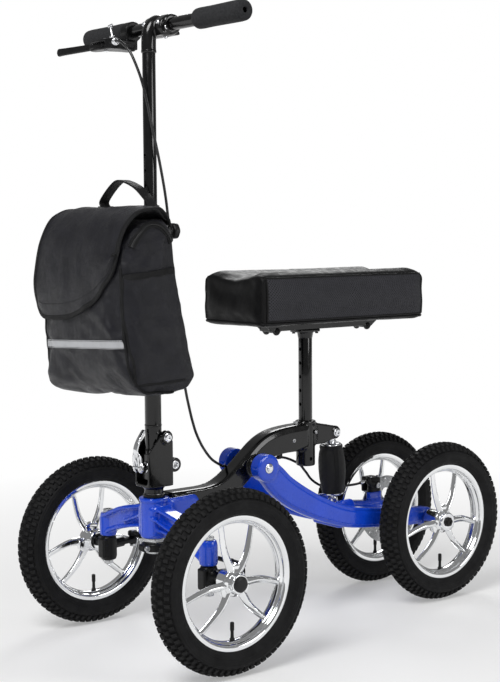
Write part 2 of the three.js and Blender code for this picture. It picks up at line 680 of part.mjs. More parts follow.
function brakeRotor() {
  const holes = Array.from({ length: 6 }, (_, i) => {
    const angle = (Math.PI * i) / 3;
    return rodY(-AXLE_X + 57 * Math.cos(angle), [-70, -55], AXLE_Z + 57 * Math.sin(angle), 5, 6);
  });
  const disc = rodY(-AXLE_X, ROTOR.y, AXLE_Z, ROTOR.r, 24);
  return cut(disc, rodY(-AXLE_X, [-70, -55], AXLE_Z, ROTOR.inner), ...holes);
}

function caliperBody() {
  const block = box([-280, -250], [-76, -46], [196 + GAP, 226]);
  const slot = box([-290, -240], [ROTOR.y[0] - 1.2, ROTOR.y[1] + 1.2], [190, 219.5]);
  const post = rodY(-265, [-46.5, -40], 211, 3.5);
  return cut(block, slot).add(post);
}

function caliperArm() {
  const strip = [...arc(-265, 211, 7, 90, 270, 4), [-240, 218], [-236, 226], [-242, 230]];
  return cut(plateY(strip, [-45.6, -41]), rodY(-265, [-50, -30], 211, hole(3.5)));
}

function cableFrame() {
  return sweep([[128, -22.5, 288], [100, -22.5, 270], [60, -22.5, 289], [10, -22.5, 300],
    [-36, -23, 284], [-58, -24, 264]], 2.4, 10, 5);
}

// ---------------------------------------------------------------- the whole scooter
const scooter = new THREE.Group();
scooter.add(
  wheels(),
  named('front_yoke', BLUE, frontYoke()),
  named('upper_head_bearing', STEEL, headBearing(HEAD_Z[1] + GAP, 272, 19)),
  named('lower_head_bearing', STEEL, headBearing(189, HEAD_Z[0] - GAP, 22)),
  named('main_frame', BLACK, mainFrame()),
  named('swing_arm_pivot_shaft', STEEL, pivotShaft()),
  named('shock_upper_bolt', STEEL, crossBolt(SHOCK_TOP)),
  named('brake_cable_rear', PLASTIC, cableFrame()),
  named('steerer_bracket', BLACK, steererBracket()),
  named('fold_hinge_bolt', STEEL, foldHingeBolt()),
  named('pitman_arm', BLACK, pitmanArm()),
  named('left_knuckle', BLACK, knuckle(1)),
  named('right_knuckle', BLACK, knuckle(-1)),
  named('left_kingpin', STEEL, kingpin(1)),
  named('right_kingpin', STEEL, kingpin(-1)),
  named('left_tie_rod', BLACK, tieRod(1)),
  named('right_tie_rod', BLACK, tieRod(-1)),
  named('stem_tube', BLACK, stemTube()),
  named('draw_bolt', CHROME, drawBolt()),
  named('fold_lever', CHROME, foldLever()),
  named('height_knob', PLASTIC, heightKnob()),
  named('bag_body', NYLON, bagBody()),
  named('bag_flap', NYLON, bagFlap()),
  named('mast', BLACK, mast()),
  named('gooseneck', BLACK, gooseneck()),
  named('handlebar', BLACK, handlebar()),
  named('left_grip', FOAM, grip(1)),
  named('right_grip', FOAM, grip(-1)),
  named('brake_bracket', BLACK, brakeBracket()),
  named('brake_lever', PLASTIC, brakeLever()),
  named('parking_latch', CHROME, parkingLatch()),
  named('brake_cable_upper', PLASTIC, cableUpper()),
  named('seat_post', BLACK, seatPost()),
  named('seat_knob', PLASTIC, seatKnob()),
  named('pad_rail', BLACK, padRail()),
  named('pad_board', PLYWOOD, padBoard()),
  named('knee_pad', VINYL, kneePad()),
  named('swing_arm', BLUE, swingArm()),
  named('rear_axle', STEEL, rearAxle()),
  named('shock_lower_bolt', STEEL, crossBolt(SHOCK_FOOT)),
  named('caliper_body', BLACK, caliperBody()),
  named('caliper_arm', BLACK, caliperArm()),
  named('shock_body', CHROME, shockBody()),
  named('shock_shaft', CHROME, shockShaft()),
  named('shock_spring', STEEL, shockSpring()),
  named('shock_cover', NYLON, shockCover()),
  named('brake_rotor', STEEL, brakeRotor()),
);

export default scooter;
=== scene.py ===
"""A four-wheeled knee scooter: the looks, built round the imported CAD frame."""

import math

import bmesh
import bpy
from mathutils import Matrix, Vector, noise
from mathutils.bvhtree import BVHTree


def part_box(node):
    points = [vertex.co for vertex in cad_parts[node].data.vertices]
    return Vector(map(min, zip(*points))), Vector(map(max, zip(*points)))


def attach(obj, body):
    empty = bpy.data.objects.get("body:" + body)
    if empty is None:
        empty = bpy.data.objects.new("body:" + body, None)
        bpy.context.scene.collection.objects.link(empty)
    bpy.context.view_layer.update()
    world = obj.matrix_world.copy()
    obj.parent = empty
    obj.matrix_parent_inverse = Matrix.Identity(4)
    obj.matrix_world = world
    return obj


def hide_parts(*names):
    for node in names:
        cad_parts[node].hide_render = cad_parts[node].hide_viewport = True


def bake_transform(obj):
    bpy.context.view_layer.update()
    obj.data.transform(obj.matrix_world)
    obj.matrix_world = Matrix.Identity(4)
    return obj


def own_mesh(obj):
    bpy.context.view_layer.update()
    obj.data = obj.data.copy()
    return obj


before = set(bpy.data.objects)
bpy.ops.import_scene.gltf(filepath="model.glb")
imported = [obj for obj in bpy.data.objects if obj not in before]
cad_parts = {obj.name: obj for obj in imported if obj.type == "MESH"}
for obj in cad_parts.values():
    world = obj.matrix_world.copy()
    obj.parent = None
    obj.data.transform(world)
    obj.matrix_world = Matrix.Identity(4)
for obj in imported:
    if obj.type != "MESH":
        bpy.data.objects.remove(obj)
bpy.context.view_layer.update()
MM = 0.001  # shapes below are in millimetres, and Blender's objects in metres
TAU = 2 * math.pi


# ------------------------------------------------------------------ places, from the frame
def span(node):
    """A CAD node's lowest and highest corners, in millimetres."""
    low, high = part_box(node)
    return low / MM, high / MM


def centre(node):
    """Where a CAD node's middle is, to a hundredth of a millimetre."""
    low, high = span(node)
    return Vector([round(c, 2) for c in (low + high) / 2])


def side_place(node):
    """The same in the side view: (x, z)."""
    middle = centre(node)
    return middle.x, middle.z


STEM_X = centre("mast").x
SEAT_X = centre("seat_post").x
KING_X, KING_Y, _ = centre("left_kingpin")
STEM, SEAT = (STEM_X, 0), (SEAT_X, 0)  # in plan: (x, y)
HINGE = side_place("fold_hinge_bolt")
BAR = side_place("handlebar")
PIVOT = side_place("swing_arm_pivot_shaft")
FRONT_AXLE = side_place("left_front_tyre")
REAR_AXLE = side_place("rear_axle")
AT_REAR_AXLE = Matrix.Translation(centre("rear_axle"))
AT_PIVOT = Matrix.Translation(centre("swing_arm_pivot_shaft"))
SHOCK_TOP, SHOCK_FOOT = centre("shock_upper_bolt"), centre("shock_lower_bolt")
SHOCK_AXIS = (SHOCK_FOOT - SHOCK_TOP).normalized()
DRAW_Z = centre("draw_bolt").z
KNOB_Z = centre("height_knob").z


# ------------------------------------------------------------------ shapes: (vertices, faces) in mm
def merge(*shapes):
    verts, faces = [], []
    for v, f in shapes:
        base = len(verts)
        verts.extend(v)
        faces.extend([tuple(i + base for i in face) for face in f])
    return verts, faces


def placed(shape, matrix):
    verts, faces = shape
    return [matrix @ Vector(v) for v in verts], faces


def at(*xyz):
    return Matrix.Translation(Vector(xyz))


def turned(degrees, axis):
    return Matrix.Rotation(math.radians(degrees), 4, axis)


def toward(origin, direction):
    """A matrix that takes the Y axis to a direction and the origin to a point."""
    turn = Vector((0, 1, 0)).rotation_difference(Vector(direction)).to_matrix().to_4x4()
    return at(*origin) @ turn


def rounded(points, radius, steps=3, closed=True):
    """A polyline with each corner replaced by a small curve."""
    out = []
    count = len(points)
    for i, p in enumerate(points):
        if not closed and i in (0, count - 1):
            out.append(tuple(p))
            continue
        here = Vector(p)
        before = Vector(points[i - 1]) - here
        after = Vector(points[(i + 1) % count]) - here
        reach = min(radius, 0.45 * before.length, 0.45 * after.length)
        a = here + before.normalized() * reach
        b = here + after.normalized() * reach
        for k in range(steps + 1):
            t = k / steps
            out.append(tuple(a * (1 - t) ** 2 + here * 2 * t * (1 - t) + b * t ** 2))
    return out


def arc(cx, cy, r, start, end, steps):
    angles = [math.radians(start + (end - start) * i / steps) for i in range(steps + 1)]
    return [(cx + r * math.cos(a), cy + r * math.sin(a)) for a in angles]


def lathe(profile, sides=64, closed=False, wobble=None):
    """A profile of (radius, height) turned about the Y axis. wobble scales the radius with the angle."""
    verts, faces, rings = [], [], []
    for r, h in profile:
        if r < 1e-6:
            rings.append([len(verts)])
            verts.append((0, h, 0))
            continue
        rings.append(list(range(len(verts), len(verts) + sides)))
        for k in range(sides):
            a = TAU * k / sides
            s = r * (wobble(a) if wobble else 1)
            verts.append((s * math.sin(a), h, s * math.cos(a)))
    pairs = list(zip(rings, rings[1:]))
    if closed:
        pairs.append((rings[-1], rings[0]))
    for low, high in pairs:
        for k in range(sides):
            n = (k + 1) % sides
            if len(low) == 1 and len(high) == 1:
                continue
            if len(low) == 1:
                faces.append((low[0], high[k], high[n]))
            elif len(high) == 1:
                faces.append((low[k], high[0], low[n]))
            else:
                faces.append((low[k], high[k], high[n], low[n]))
    return verts, faces


def bar(start, end, r, sides=32, edge=0.6, end_r=None):
    """A round bar between two points, with softened ends."""
    a, b = Vector(start), Vector(end)
    length = (b - a).length
    q = r if end_r is None else end_r
    edge = min(edge, 0.3 * length, 0.5 * min(r, q))
    profile = [(0, 0), (r - edge, 0), (r - 0.3 * edge, 0.3 * edge), (r, edge), (q, length - edge),
               (q - 0.3 * edge, length - 0.3 * edge), (q - edge, length), (0, length)]
    return placed(lathe(profile, sides), toward(a, b - a))


def upright(plan, low, high, *sizes):
    """A bar that stands between two heights, at (x, y)."""
    return bar((*plan, low), (*plan, high), *sizes)


def crossbar(profile, right, left, *sizes):
    """A bar that lies across the frame, at (x, z)."""
    x, z = profile
    return bar((x, right, z), (x, left, z), *sizes)


def pipe(start, end, r, bore, sides=40, edge=0.5):
    """An open tube between two points."""
    a, b = Vector(start), Vector(end)
    length = (b - a).length
    profile = rounded([(r, 0), (r, length), (bore, length), (bore, 0)], edge, 2)
    return placed(lathe(profile, sides, closed=True), toward(a, b - a))


def inset(outline, amount):
    """A closed 2D outline moved inwards by an amount."""
    area = sum(a[0] * b[1] - b[0] * a[1] for a, b in zip(outline, outline[1:] + outline[:1]))
    side = 1 if area > 0 else -1
    out = []
    for i, p in enumerate(outline):
        q = Vector(p)
        d1 = (q - Vector(outline[i - 1])).normalized()
        d2 = (Vector(outline[(i + 1) % len(outline)]) - q).normalized()
        n1 = Vector((-d1.y, d1.x)) * side
        n2 = Vector((-d2.y, d2.x)) * side
        n = n1 + n2
        scale = amount / max(0.35, n.length_squared / 2)
        out.append(tuple(q + n * scale))
    return out


def slab(outline, low, high, edge=1.0, plane="xz", steps=2):
    """An outline extruded between two heights, with rounded edges. plane names the outline's two axes."""
    edge = min(edge, 0.45 * abs(high - low))
    quarter = [math.radians(90 * i / steps) for i in range(steps + 1)]
    levels = [(edge * (1 - math.sin(a)), low + edge * (1 - math.cos(a))) for a in quarter]
    levels += [(d, high - (h - low)) for d, h in reversed(levels)]
    place = {"xz": lambda u, v, h: (u, h, v), "yz": lambda u, v, h: (h, u, v), "xy": lambda u, v,
             h: (u, v, h)}
    verts, faces = [], []
    n = len(outline)
    for d, h in levels:
        ring = inset(outline, d) if d > 1e-9 else outline
        verts.extend(place[plane](u, v, h) for u, v in ring)
    for level in range(len(levels) - 1):
        for k in range(n):
            a, b = level * n + k, level * n + (k + 1) % n
            faces.append((a, b, b + n, a + n))
    faces.append(tuple(range(n))[::-1])
    faces.append(tuple(range((len(levels) - 1) * n, len(levels) * n)))
    return verts, faces


def block(low, high, edge=1.0, corner=1.5):
    """A box with rounded edges."""
    (x0, y0, z0), (x1, y1, z1) = low, high
    outline = rounded([(x0, y0), (x1, y0), (x1, y1), (x0, y1)], corner, 2)
    return slab(outline, z0, z1, edge, "xy")


def curve(points, count):
    """A smooth line through a few points, evenly sampled between them."""
    pts = [Vector(p) for p in points]
    pts = [2 * pts[0] - pts[1]] + pts + [2 * pts[-1] - pts[-2]]
    out = []
    pieces = len(pts) - 3
    for i in range(count + 1):
        s = pieces * i / count
        k = min(int(s), pieces - 1)
        t = s - k
        p0, p1, p2, p3 = pts[k:k + 4]
        out.append(0.5 * (2 * p1 + (p2 - p0) * t + (2 * p0 - 5 * p1 + 4 * p2 - p3) * t * t
                          + (3 * p1 - p0 - 3 * p2 + p3) * t ** 3))
    return out


def side_curve(points, count):
    """A smooth line in the centre plane, through (x, z) points."""
    return curve([(x, 0, z) for x, z in points], count)


def sweep(path, section, up=None, scale=None, closed=False):
    """A section of (sideways, up) points carried along a path. scale(t) gives (width, height) factors."""
    path = [Vector(p) for p in path]
    n, m = len(path), len(section)
    verts, faces = [], []
    normal = None
    for i, p in enumerate(path):
        ahead = path[(i + 1) % n] if closed else path[min(i + 1, n - 1)]
        behind = path[i - 1] if closed else path[max(i - 1, 0)]
        tangent = (ahead - behind).normalized()
        if up is not None:
            side = Vector(up).cross(tangent).normalized()
        elif normal is None:
            side = tangent.orthogonal().normalized()
        else:
            side = (normal - tangent * normal.dot(tangent)).normalized()
        normal = side
        lift = tangent.cross(side)
        su, sv = scale(i / max(1, n - 1)) if scale else (1, 1)
        verts.extend(p + side * (u * su) + lift * (v * sv) for u, v in section)
    for i in range(n if closed else n - 1):
        for k in range(m):
            a, b = i * m + k, i * m + (k + 1) % m
            c, d = ((i + 1) % n) * m + (k + 1) % m, ((i + 1) % n) * m + k
            faces.append((a, b, c, d))
    if not closed:
        faces.append(tuple(range(m))[::-1])
        faces.append(tuple(range((n - 1) * m, n * m)))
    return verts, faces


def circle(r, sides=16):
    return [(r * math.cos(TAU * k / sides), r * math.sin(TAU * k / sides)) for k in range(sides)]


def rectangle(width, height, corner=1.0, steps=3):
    w, h = width / 2, height / 2
    return rounded([(-w, -h), (w, -h), (w, h), (-w, h)], corner, steps)


def hexagon(r):
    return [(r * math.cos(TAU * k / 6), r * math.sin(TAU * k / 6)) for k in range(6)]


def bolt_head(origin, direction, r=6.5, height=5, socket=True):
    """A hexagon or socket head standing on a face."""
    if socket:
        profile = [(0, 0), (r, 0), (r, height - 0.8), (r - 0.8, height), (0.5 * r, height),
                   (0.5 * r, height - 0.6 * height), (0, height - 0.6 * height)]
        return placed(lathe(profile, 24), toward(origin, direction))
    head = slab(rounded(hexagon(r), 0.5, 2), 0, height, 0.7)
    return placed(head, toward(origin, direction))


# ------------------------------------------------------------------ objects
def build(name, shape, material, body=None, node=None, sharp=32):
    """A mesh from a shape. node is the CAD node it stands for, and is hidden."""
    verts, faces = shape
    mesh = bpy.data.meshes.new(name)
    mesh.from_pydata([Vector(v) * MM for v in verts], [], faces)
    bm = bmesh.new()
    bm.from_mesh(mesh)
    bmesh.ops.recalc_face_normals(bm, faces=bm.faces)
    bm.to_mesh(mesh)
    bm.free()
    obj = bpy.data.objects.new(name, mesh)
    bpy.context.scene.collection.objects.link(obj)
    dress(obj, material, sharp)
    return settle(obj, body, node)


def dress(obj, material, sharp=32):
    """One material and shading that is smooth up to an angle."""
    mesh = obj.data
    mesh.materials.clear()
    mesh.materials.append(material)
    mesh.polygons.foreach_set("use_smooth", [True] * len(mesh.polygons))
    if sharp:
        mesh.set_sharp_from_angle(angle=math.radians(sharp))


def settle(obj, body, node=None):
    if node:
        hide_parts(node)
    if body:
        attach(obj, body)
    return obj


def bake(obj):
    """Applies an object's modifiers to its own mesh."""
    graph = bpy.context.evaluated_depsgraph_get()
    graph.update()
    mesh = bpy.data.meshes.new_from_object(obj.evaluated_get(graph))
    obj.modifiers.clear()
    obj.data = mesh
    return obj


def fuse(name, shape, material, body, node=None, voxel=1.6, passes=6):
    """Overlapping shapes made into one skin with small fillets, as in a casting or a welded frame."""
    obj = build(name, shape, material)
    remesh = obj.modifiers.new("skin", "REMESH")
    remesh.mode = "VOXEL"
    remesh.voxel_size = voxel * MM
    soften = obj.modifiers.new("soften", "SMOOTH")
    soften.factor = 0.5
    soften.iterations = passes
    bake(obj)
    dress(obj, material, None)
    return settle(obj, body, node)


def trim(name, shape, material, body="stem"):
    """A cloth piece that is part of the looks only."""
    return build(name, shape, material, body, sharp=60)


def carve(obj, cutter, material, sharp=32):
    """Cuts a shape out of an object."""
    tool = build(obj.name + "_cutter", cutter, material)
    cut = obj.modifiers.new("cut", "BOOLEAN")
    cut.operation = "DIFFERENCE"
    cut.solver = "EXACT"
    cut.object = tool
    bake(obj)
    bpy.data.objects.remove(tool)
    dress(obj, material, sharp)
    return obj


# ------------------------------------------------------------------ materials
class Finish:
    """A node material, built up in layers on a Principled shader. Patterns are in object space."""

    def __init__(self, name, colour, roughness, metallic=0.0, coat=0.0, sheen=0.0, gloss=0.5):
        self.material = bpy.data.materials.new(name)
        self.material.use_nodes = True
        self.tree = self.material.node_tree
        self.shader = self.tree.nodes["Principled BSDF"]
        self.place = self.tree.nodes.new("ShaderNodeTexCoord").outputs["Object"]
        self.shader.inputs["Metallic"].default_value = metallic
        self.shader.inputs["Coat Weight"].default_value = coat
        self.shader.inputs["Coat Roughness"].default_value = 0.06
        self.shader.inputs["Specular IOR Level"].default_value = gloss
        self.shader.inputs["Sheen Weight"].default_value = sheen
        self.shader.inputs["Sheen Roughness"].default_value = 0.4
        base = self.node("ShaderNodeRGB")
        base.outputs[0].default_value = (*colour, 1)
        self.colour = base.outputs[0]
        rough = self.node("ShaderNodeValue")
        rough.outputs[0].default_value = roughness
        self.roughness = rough.outputs[0]
        self.height = None

    def node(self, kind, **settings):
        made = self.tree.nodes.new(kind)
        for key, value in settings.items():
            setattr(made, key, value)
        return made

    def link(self, source, target):
        self.tree.links.new(source, target)

    def math(self, operation, a, b=None):
        made = self.node("ShaderNodeMath", operation=operation)
        for slot, value in zip(made.inputs, (a, b)):
            if value is None:
                continue
            if isinstance(value, (int, float)):
                slot.default_value = value
            else:
                self.link(value, slot)
        return made.outputs[0]

    def noise(self, size_mm, detail=3.0, stretch=(1, 1, 1)):
        """Noise from 0 to 1 with features of about this size."""
        mapping = self.node("ShaderNodeMapping")
        mapping.inputs["Scale"].default_value = stretch
        self.link(self.place, mapping.inputs["Vector"])
        made = self.node("ShaderNodeTexNoise")
        made.inputs["Scale"].default_value = 1 / (size_mm * MM)
        made.inputs["Detail"].default_value = detail
        self.link(mapping.outputs[0], made.inputs["Vector"])
        return made.outputs["Fac"]

    def ranged(self, value, low, high, from_low=0.3, from_high=0.7):
        made = self.node("ShaderNodeMapRange")
        made.inputs["From Min"].default_value = from_low
        made.inputs["From Max"].default_value = from_high
        made.inputs["To Min"].default_value = low
        made.inputs["To Max"].default_value = high
        self.link(value, made.inputs["Value"])
        return made.outputs[0]

    def tint(self, factor, colour):
        """Mixes a colour in where factor is 1."""
        mix = self.node("ShaderNodeMix", data_type="RGBA")
        self.link(factor, mix.inputs["Factor"])
        self.link(self.colour, mix.inputs[6])
        mix.inputs[7].default_value = (*colour, 1)
        self.colour = mix.outputs[2]
        return self

    def shade(self, factor):
        """Multiplies the colour by a value."""
        mix = self.node("ShaderNodeVectorMath", operation="SCALE")
        self.link(self.colour, mix.inputs[0])
        self.link(factor, mix.inputs["Scale"])
        self.colour = mix.outputs[0]
        return self

    def mottle(self, size_mm, amount):
        return self.shade(self.ranged(self.noise(size_mm), 1 - amount, 1 + amount))

    def uneven(self, size_mm, amount):
        """Roughness that wanders by an amount."""
        self.roughness = self.math("ADD", self.roughness, self.ranged(self.noise(size_mm), -amount, amount))
        return self

    def bump(self, value, depth_mm, strength=1.0):
        made = self.node("ShaderNodeBump")
        made.inputs["Strength"].default_value = strength
        made.inputs["Distance"].default_value = depth_mm * MM
        self.link(value, made.inputs["Height"])
        if self.height is not None:
            self.link(self.height, made.inputs["Normal"])
        self.height = made.outputs[0]
        return self

    def grain(self, size_mm, depth_mm, detail=2.0):
        return self.bump(self.noise(size_mm, detail), depth_mm)

    def wear(self, colour, amount=0.5, roughness=None):
        """A lighter or barer tone along the outer edges."""
        edges = self.node("ShaderNodeNewGeometry").outputs["Pointiness"]
        broken = self.math("MULTIPLY", self.ranged(edges, 0, 1, 0.53, 0.62),
                           self.ranged(self.noise(6), 0.2, 1))
        mask = self.math("MULTIPLY", broken, amount)
        self.tint(mask, colour)
        if roughness is not None:
            self.roughness = self.math("ADD", self.roughness, self.math("MULTIPLY", mask, roughness))
        return self

    def dust(self, colour=(0.3, 0.29, 0.27), amount=0.12, size_mm=30):
        """A faint film that gathers in patches."""
        film = self.math("MULTIPLY", self.ranged(self.noise(size_mm, 5), 0, 1, 0.45, 0.7), amount)
        return self.tint(film, colour)

    def waves(self, pitch_mm, weights):
        """A sine of the weighted sum of the coordinates, from 0 to 1."""
        dot = self.node("ShaderNodeVectorMath", operation="DOT_PRODUCT")
        self.link(self.place, dot.inputs[0])
        dot.inputs[1].default_value = [w * TAU / (pitch_mm * MM) for w in weights]
        return self.ranged(self.math("SINE", dot.outputs["Value"]), 0, 1, -1, 1)

    def done(self):
        self.link(self.colour, self.shader.inputs["Base Color"])
        self.link(self.roughness, self.shader.inputs["Roughness"])
        if self.height is not None:
            self.link(self.height, self.shader.inputs["Normal"])
        return self.material


def tyre_rubber():
    f = Finish("tyre_rubber", (0.0065, 0.0065, 0.007), 0.62, gloss=0.14)
    f.mottle(22, 0.25).uneven(9, 0.08).grain(1.1, 0.25).dust((0.05, 0.05, 0.049), 0.08, 26)
    return f.wear((0.022, 0.022, 0.022), 0.5, 0.1).done()


def chrome_cast():
    f = Finish("rim_chrome", (0.86, 0.87, 0.88), 0.10, metallic=1.0)
    f.mottle(40, 0.05).uneven(18, 0.05).grain(9, 0.12, 1.0)
    return f.dust((0.55, 0.54, 0.52), 0.08, 20).done()


def chrome_small():
    f = Finish("bright_chrome", (0.78, 0.79, 0.81), 0.16, metallic=1.0)
    return f.mottle(12, 0.08).uneven(5, 0.06).grain(3, 0.05, 1.0).done()


def zinc_steel():
    f = Finish("zinc_steel", (0.52, 0.53, 0.54), 0.32, metallic=1.0)
    f.mottle(5, 0.12).uneven(3, 0.08).grain(0.8, 0.05)
    return f.wear((0.75, 0.75, 0.76), 0.4).done()


def blue_paint():
    f = Finish("blue_paint", (0.003, 0.054, 0.56), 0.28, coat=0.75, gloss=0.22)
    f.mottle(60, 0.08).uneven(14, 0.04).grain(38, 1.0, 1.0).grain(2.4, 0.05, 1.0)
    return f.dust((0.01, 0.075, 0.6), 0.2, 35).done()


def black_paint():
    f = Finish("black_paint", (0.0018, 0.0018, 0.002), 0.22, coat=0.55, gloss=0.17)
    f.mottle(50, 0.2).uneven(12, 0.06).grain(34, 1.5, 1.0).grain(2.2, 0.05, 1.0)
    return f.dust((0.01, 0.01, 0.01), 0.2, 28).done()


def black_satin():
    f = Finish("black_satin", (0.003, 0.003, 0.0034), 0.34, gloss=0.24)
    f.mottle(20, 0.2).uneven(6, 0.08).grain(0.9, 0.08)
    return f.wear((0.02, 0.02, 0.02), 0.5, 0.1).done()


def moulded_plastic():
    f = Finish("black_plastic", (0.005, 0.005, 0.0055), 0.42, gloss=0.35)
    f.mottle(15, 0.15).uneven(5, 0.06).grain(0.6, 0.1)
    return f.wear((0.045, 0.045, 0.046), 0.5, 0.08).done()


def black_rubber():
    f = Finish("black_rubber", (0.006, 0.006, 0.006), 0.6, gloss=0.3)
    return f.mottle(6, 0.2).uneven(3, 0.08).grain(0.7, 0.12).done()


def foam_grip():
    f = Finish("foam_grip", (0.021, 0.0215, 0.023), 0.88, sheen=0.05, gloss=0.15)
    pores = f.node("ShaderNodeTexVoronoi")
    pores.inputs["Scale"].default_value = 1 / (1.1 * MM)
    f.link(f.place, pores.inputs["Vector"])
    f.bump(pores.outputs["Distance"], 0.35)
    return f.mottle(3, 0.3).uneven(6, 0.06).grain(5, 0.3).done()


def woven(name, colour, pitch_mm, roughness, depth_mm=0.18, sheen=0.04, crumple_mm=0.0):
    """A plain weave whose threads run upright and level on every upright face."""
    f = Finish(name, colour, roughness, sheen=sheen, gloss=0.26)
    level = f.waves(pitch_mm, (0, 0, 1))
    upright = f.waves(pitch_mm, (1, 1, 0))
    over = f.math("MULTIPLY", level, upright)
    under = f.math("MULTIPLY", f.math("SUBTRACT", 1.0, level), f.math("SUBTRACT", 1.0, upright))
    threads = f.math("ADD", over, under)
    f.bump(threads, depth_mm)
    f.shade(f.ranged(threads, 0.72, 1.2, 0, 1))
    if crumple_mm:
        f.bump(f.noise(34, 4), crumple_mm)
    return f.mottle(24, 0.16).uneven(10, 0.07)


def bag_nylon():
    return woven("bag_nylon", (0.006, 0.006, 0.009), 0.9, 0.36, crumple_mm=3.0).dust((0.014, 0.014, 0.02),
                                                                                     0.3).done()


def binding_tape():
    f = Finish("binding_tape", (0.004, 0.004, 0.0045), 0.6, sheen=0.02, gloss=0.2)
    ribs = f.waves(1.1, (0.6, 0.6, 1))
    return f.bump(ribs, 0.25).shade(f.ranged(ribs, 0.75, 1.15, 0, 1)).mottle(9, 0.15).uneven(4, 0.05).done()


def mesh_fabric():
    """Spacer mesh, with small open cells set on the diagonal. The cells are painted dark, as painted shade
    inside them.
    """
    f = Finish("mesh_fabric", (0.022, 0.022, 0.026), 0.6, sheen=0.02, gloss=0.2)
    rising = f.waves(3.6, (0.75, 0.75, 0.66))
    falling = f.waves(3.6, (-0.75, -0.75, 0.66))
    cells = f.math("MULTIPLY", rising, falling)
    f.bump(cells, -0.7)
    # Strands lighter, open cells painted dark: painted shade inside the recessed cells.
    f.shade(f.ranged(cells, 1.3, 0.12, 0.2, 0.75))
    return f.mottle(16, 0.12).uneven(6, 0.06).grain(0.5, 0.1).done()


def pad_vinyl():
    f = Finish("pad_vinyl", (0.004, 0.004, 0.0043), 0.48, gloss=0.16)
    grain = f.node("ShaderNodeTexVoronoi", feature="SMOOTH_F1")
    grain.inputs["Scale"].default_value = 1 / (1.5 * MM)
    f.link(f.place, grain.inputs["Vector"])
    f.bump(grain.outputs["Distance"], 0.22)
    f.bump(f.noise(30, 3), 0.9)
    return f.mottle(26, 0.2).uneven(12, 0.08).done()


def neoprene():
    f = Finish("neoprene", (0.005, 0.005, 0.0055), 0.5, sheen=0.02, gloss=0.25)
    ribs = f.waves(1.0, (0.3, 1, 0.8))
    f.bump(ribs, 0.12)
    return f.mottle(10, 0.2).uneven(6, 0.06).grain(4, 0.3).done()


def reflective_tape():
    f = Finish("reflective_tape", (0.50, 0.51, 0.53), 0.34, metallic=0.35)
    cells = f.math("MULTIPLY", f.waves(1.6, (0, 1, 1)), f.waves(1.6, (0, -1, 1)))
    f.bump(cells, 0.12).shade(f.ranged(cells, 0.85, 1.1, 0, 1))
    return f.mottle(14, 0.1).uneven(6, 0.06).dust((0.3, 0.3, 0.3), 0.2, 14).done()


def thread():
    f = Finish("thread", (0.018, 0.018, 0.02), 0.6, sheen=0.05)
    return f.bump(f.waves(0.5, (1, 1, 1)), 0.1).mottle(3, 0.2).uneven(2, 0.05).done()


def cable_sheath():
    f = Finish("cable_sheath", (0.005, 0.005, 0.0055), 0.36, coat=0.2, gloss=0.35)
    return f.mottle(8, 0.2).uneven(6, 0.05).grain(0.6, 0.04).done()


def studio_floor():
    """Pale near the object, and as white as the background further off."""
    f = Finish("studio_floor", (0.87, 0.87, 0.87), 0.75)
    material = f.mottle(400, 0.006).uneven(120, 0.05).grain(3, 0.02).done()
    reach = f.node("ShaderNodeVectorMath", operation="LENGTH")
    f.link(f.place, reach.inputs[0])
    white = f.node("ShaderNodeEmission")
    blend = f.node("ShaderNodeMixShader")
    f.link(f.ranged(reach.outputs["Value"], 0.3, 1, 0.5, 1.7), blend.inputs[0])
    f.link(f.shader.outputs[0], blend.inputs[1])
    f.link(white.outputs[0], blend.inputs[2])
    f.link(blend.outputs[0], f.tree.nodes["Material Output"].inputs["Surface"])
    return material


TYRE = tyre_rubber()
CHROME = chrome_cast()
BRIGHT = chrome_small()
ZINC = zinc_steel()
BLUE = blue_paint()
BLACK = black_paint()
SATIN = black_satin()
PLASTIC = moulded_plastic()
RUBBER = black_rubber()
FOAM = foam_grip()
NYLON = bag_nylon()
TAPE = binding_tape()
MESH = mesh_fabric()
VINYL = pad_vinyl()
NEOPRENE = neoprene()
REFLECTIVE = reflective_tape()
THREAD = thread()
SHEATH = cable_sheath()


# ------------------------------------------------------------------ wheels
def tyre_shape(outer, half):
    """A knobbly tyre about its own axle. Blocks stand on a round carcass."""
    middle = outer - half
    height = 3.6

    def carcass(phi):
        wall = abs(phi)
        rho = half - height if wall < 60 else half - height + min(1, (wall - 60) / 8) * (height - 1.2)
        for ridge in (78, 98, 104):
            rho += 0.55 * math.exp(-((wall - ridge) / 1.3) ** 2)
        return rho

    outside = []
    for phi in range(-116, 117, 2):
        a = math.radians(phi)
        outside.append((middle + carcass(phi) * math.cos(a), carcass(phi) * math.sin(a)))
    inside = arc(middle, 0, half - 7, 112, -112, 12)
    shapes = [lathe(outside + [(108, 11.5)] + inside + [(108, -11.5)], 144, closed=True)]
    count = 72
    rows = ((0, 9.6, 8.2, 0.0), (26, 9.0, 7.6, 0.5), (-26, 9.0, 7.6, 0.5), (50, 9.6, 6.6, 0.0),
            (-50, 9.6, 6.6, 0.0))
    for phi, across, along, shift in rows:
        lug = knob(across, along, height + 0.8, half - height - 0.8)
        lean = turned(phi, "X")
        for k in range(count):
            shapes.append(placed(lug, turned(360 * (k + shift) / count, "Y") @ at(0, 0,
                                                                                  middle) @ lean.inverted()))
    return merge(*shapes)


def knob(across, along, height, base):
    """One tread block, standing on z = base, with drafted sides."""
    verts, faces = [], []
    for z, s in ((0, 1.0), (height - 0.7, 0.88), (height, 0.74)):
        w, l = across / 2 * s, along / 2 * s
        verts.extend([(-l, -w, base + z), (l, -w, base + z), (l, w, base + z), (-l, w, base + z)])
    for ring in (0, 4):
        for k in range(4):
            n = (k + 1) % 4
            faces.append((ring + k, ring + n, ring + n + 4, ring + k + 4))
    faces.append((8, 9, 10, 11))
    faces.append((3, 2, 1, 0))
    return verts, faces


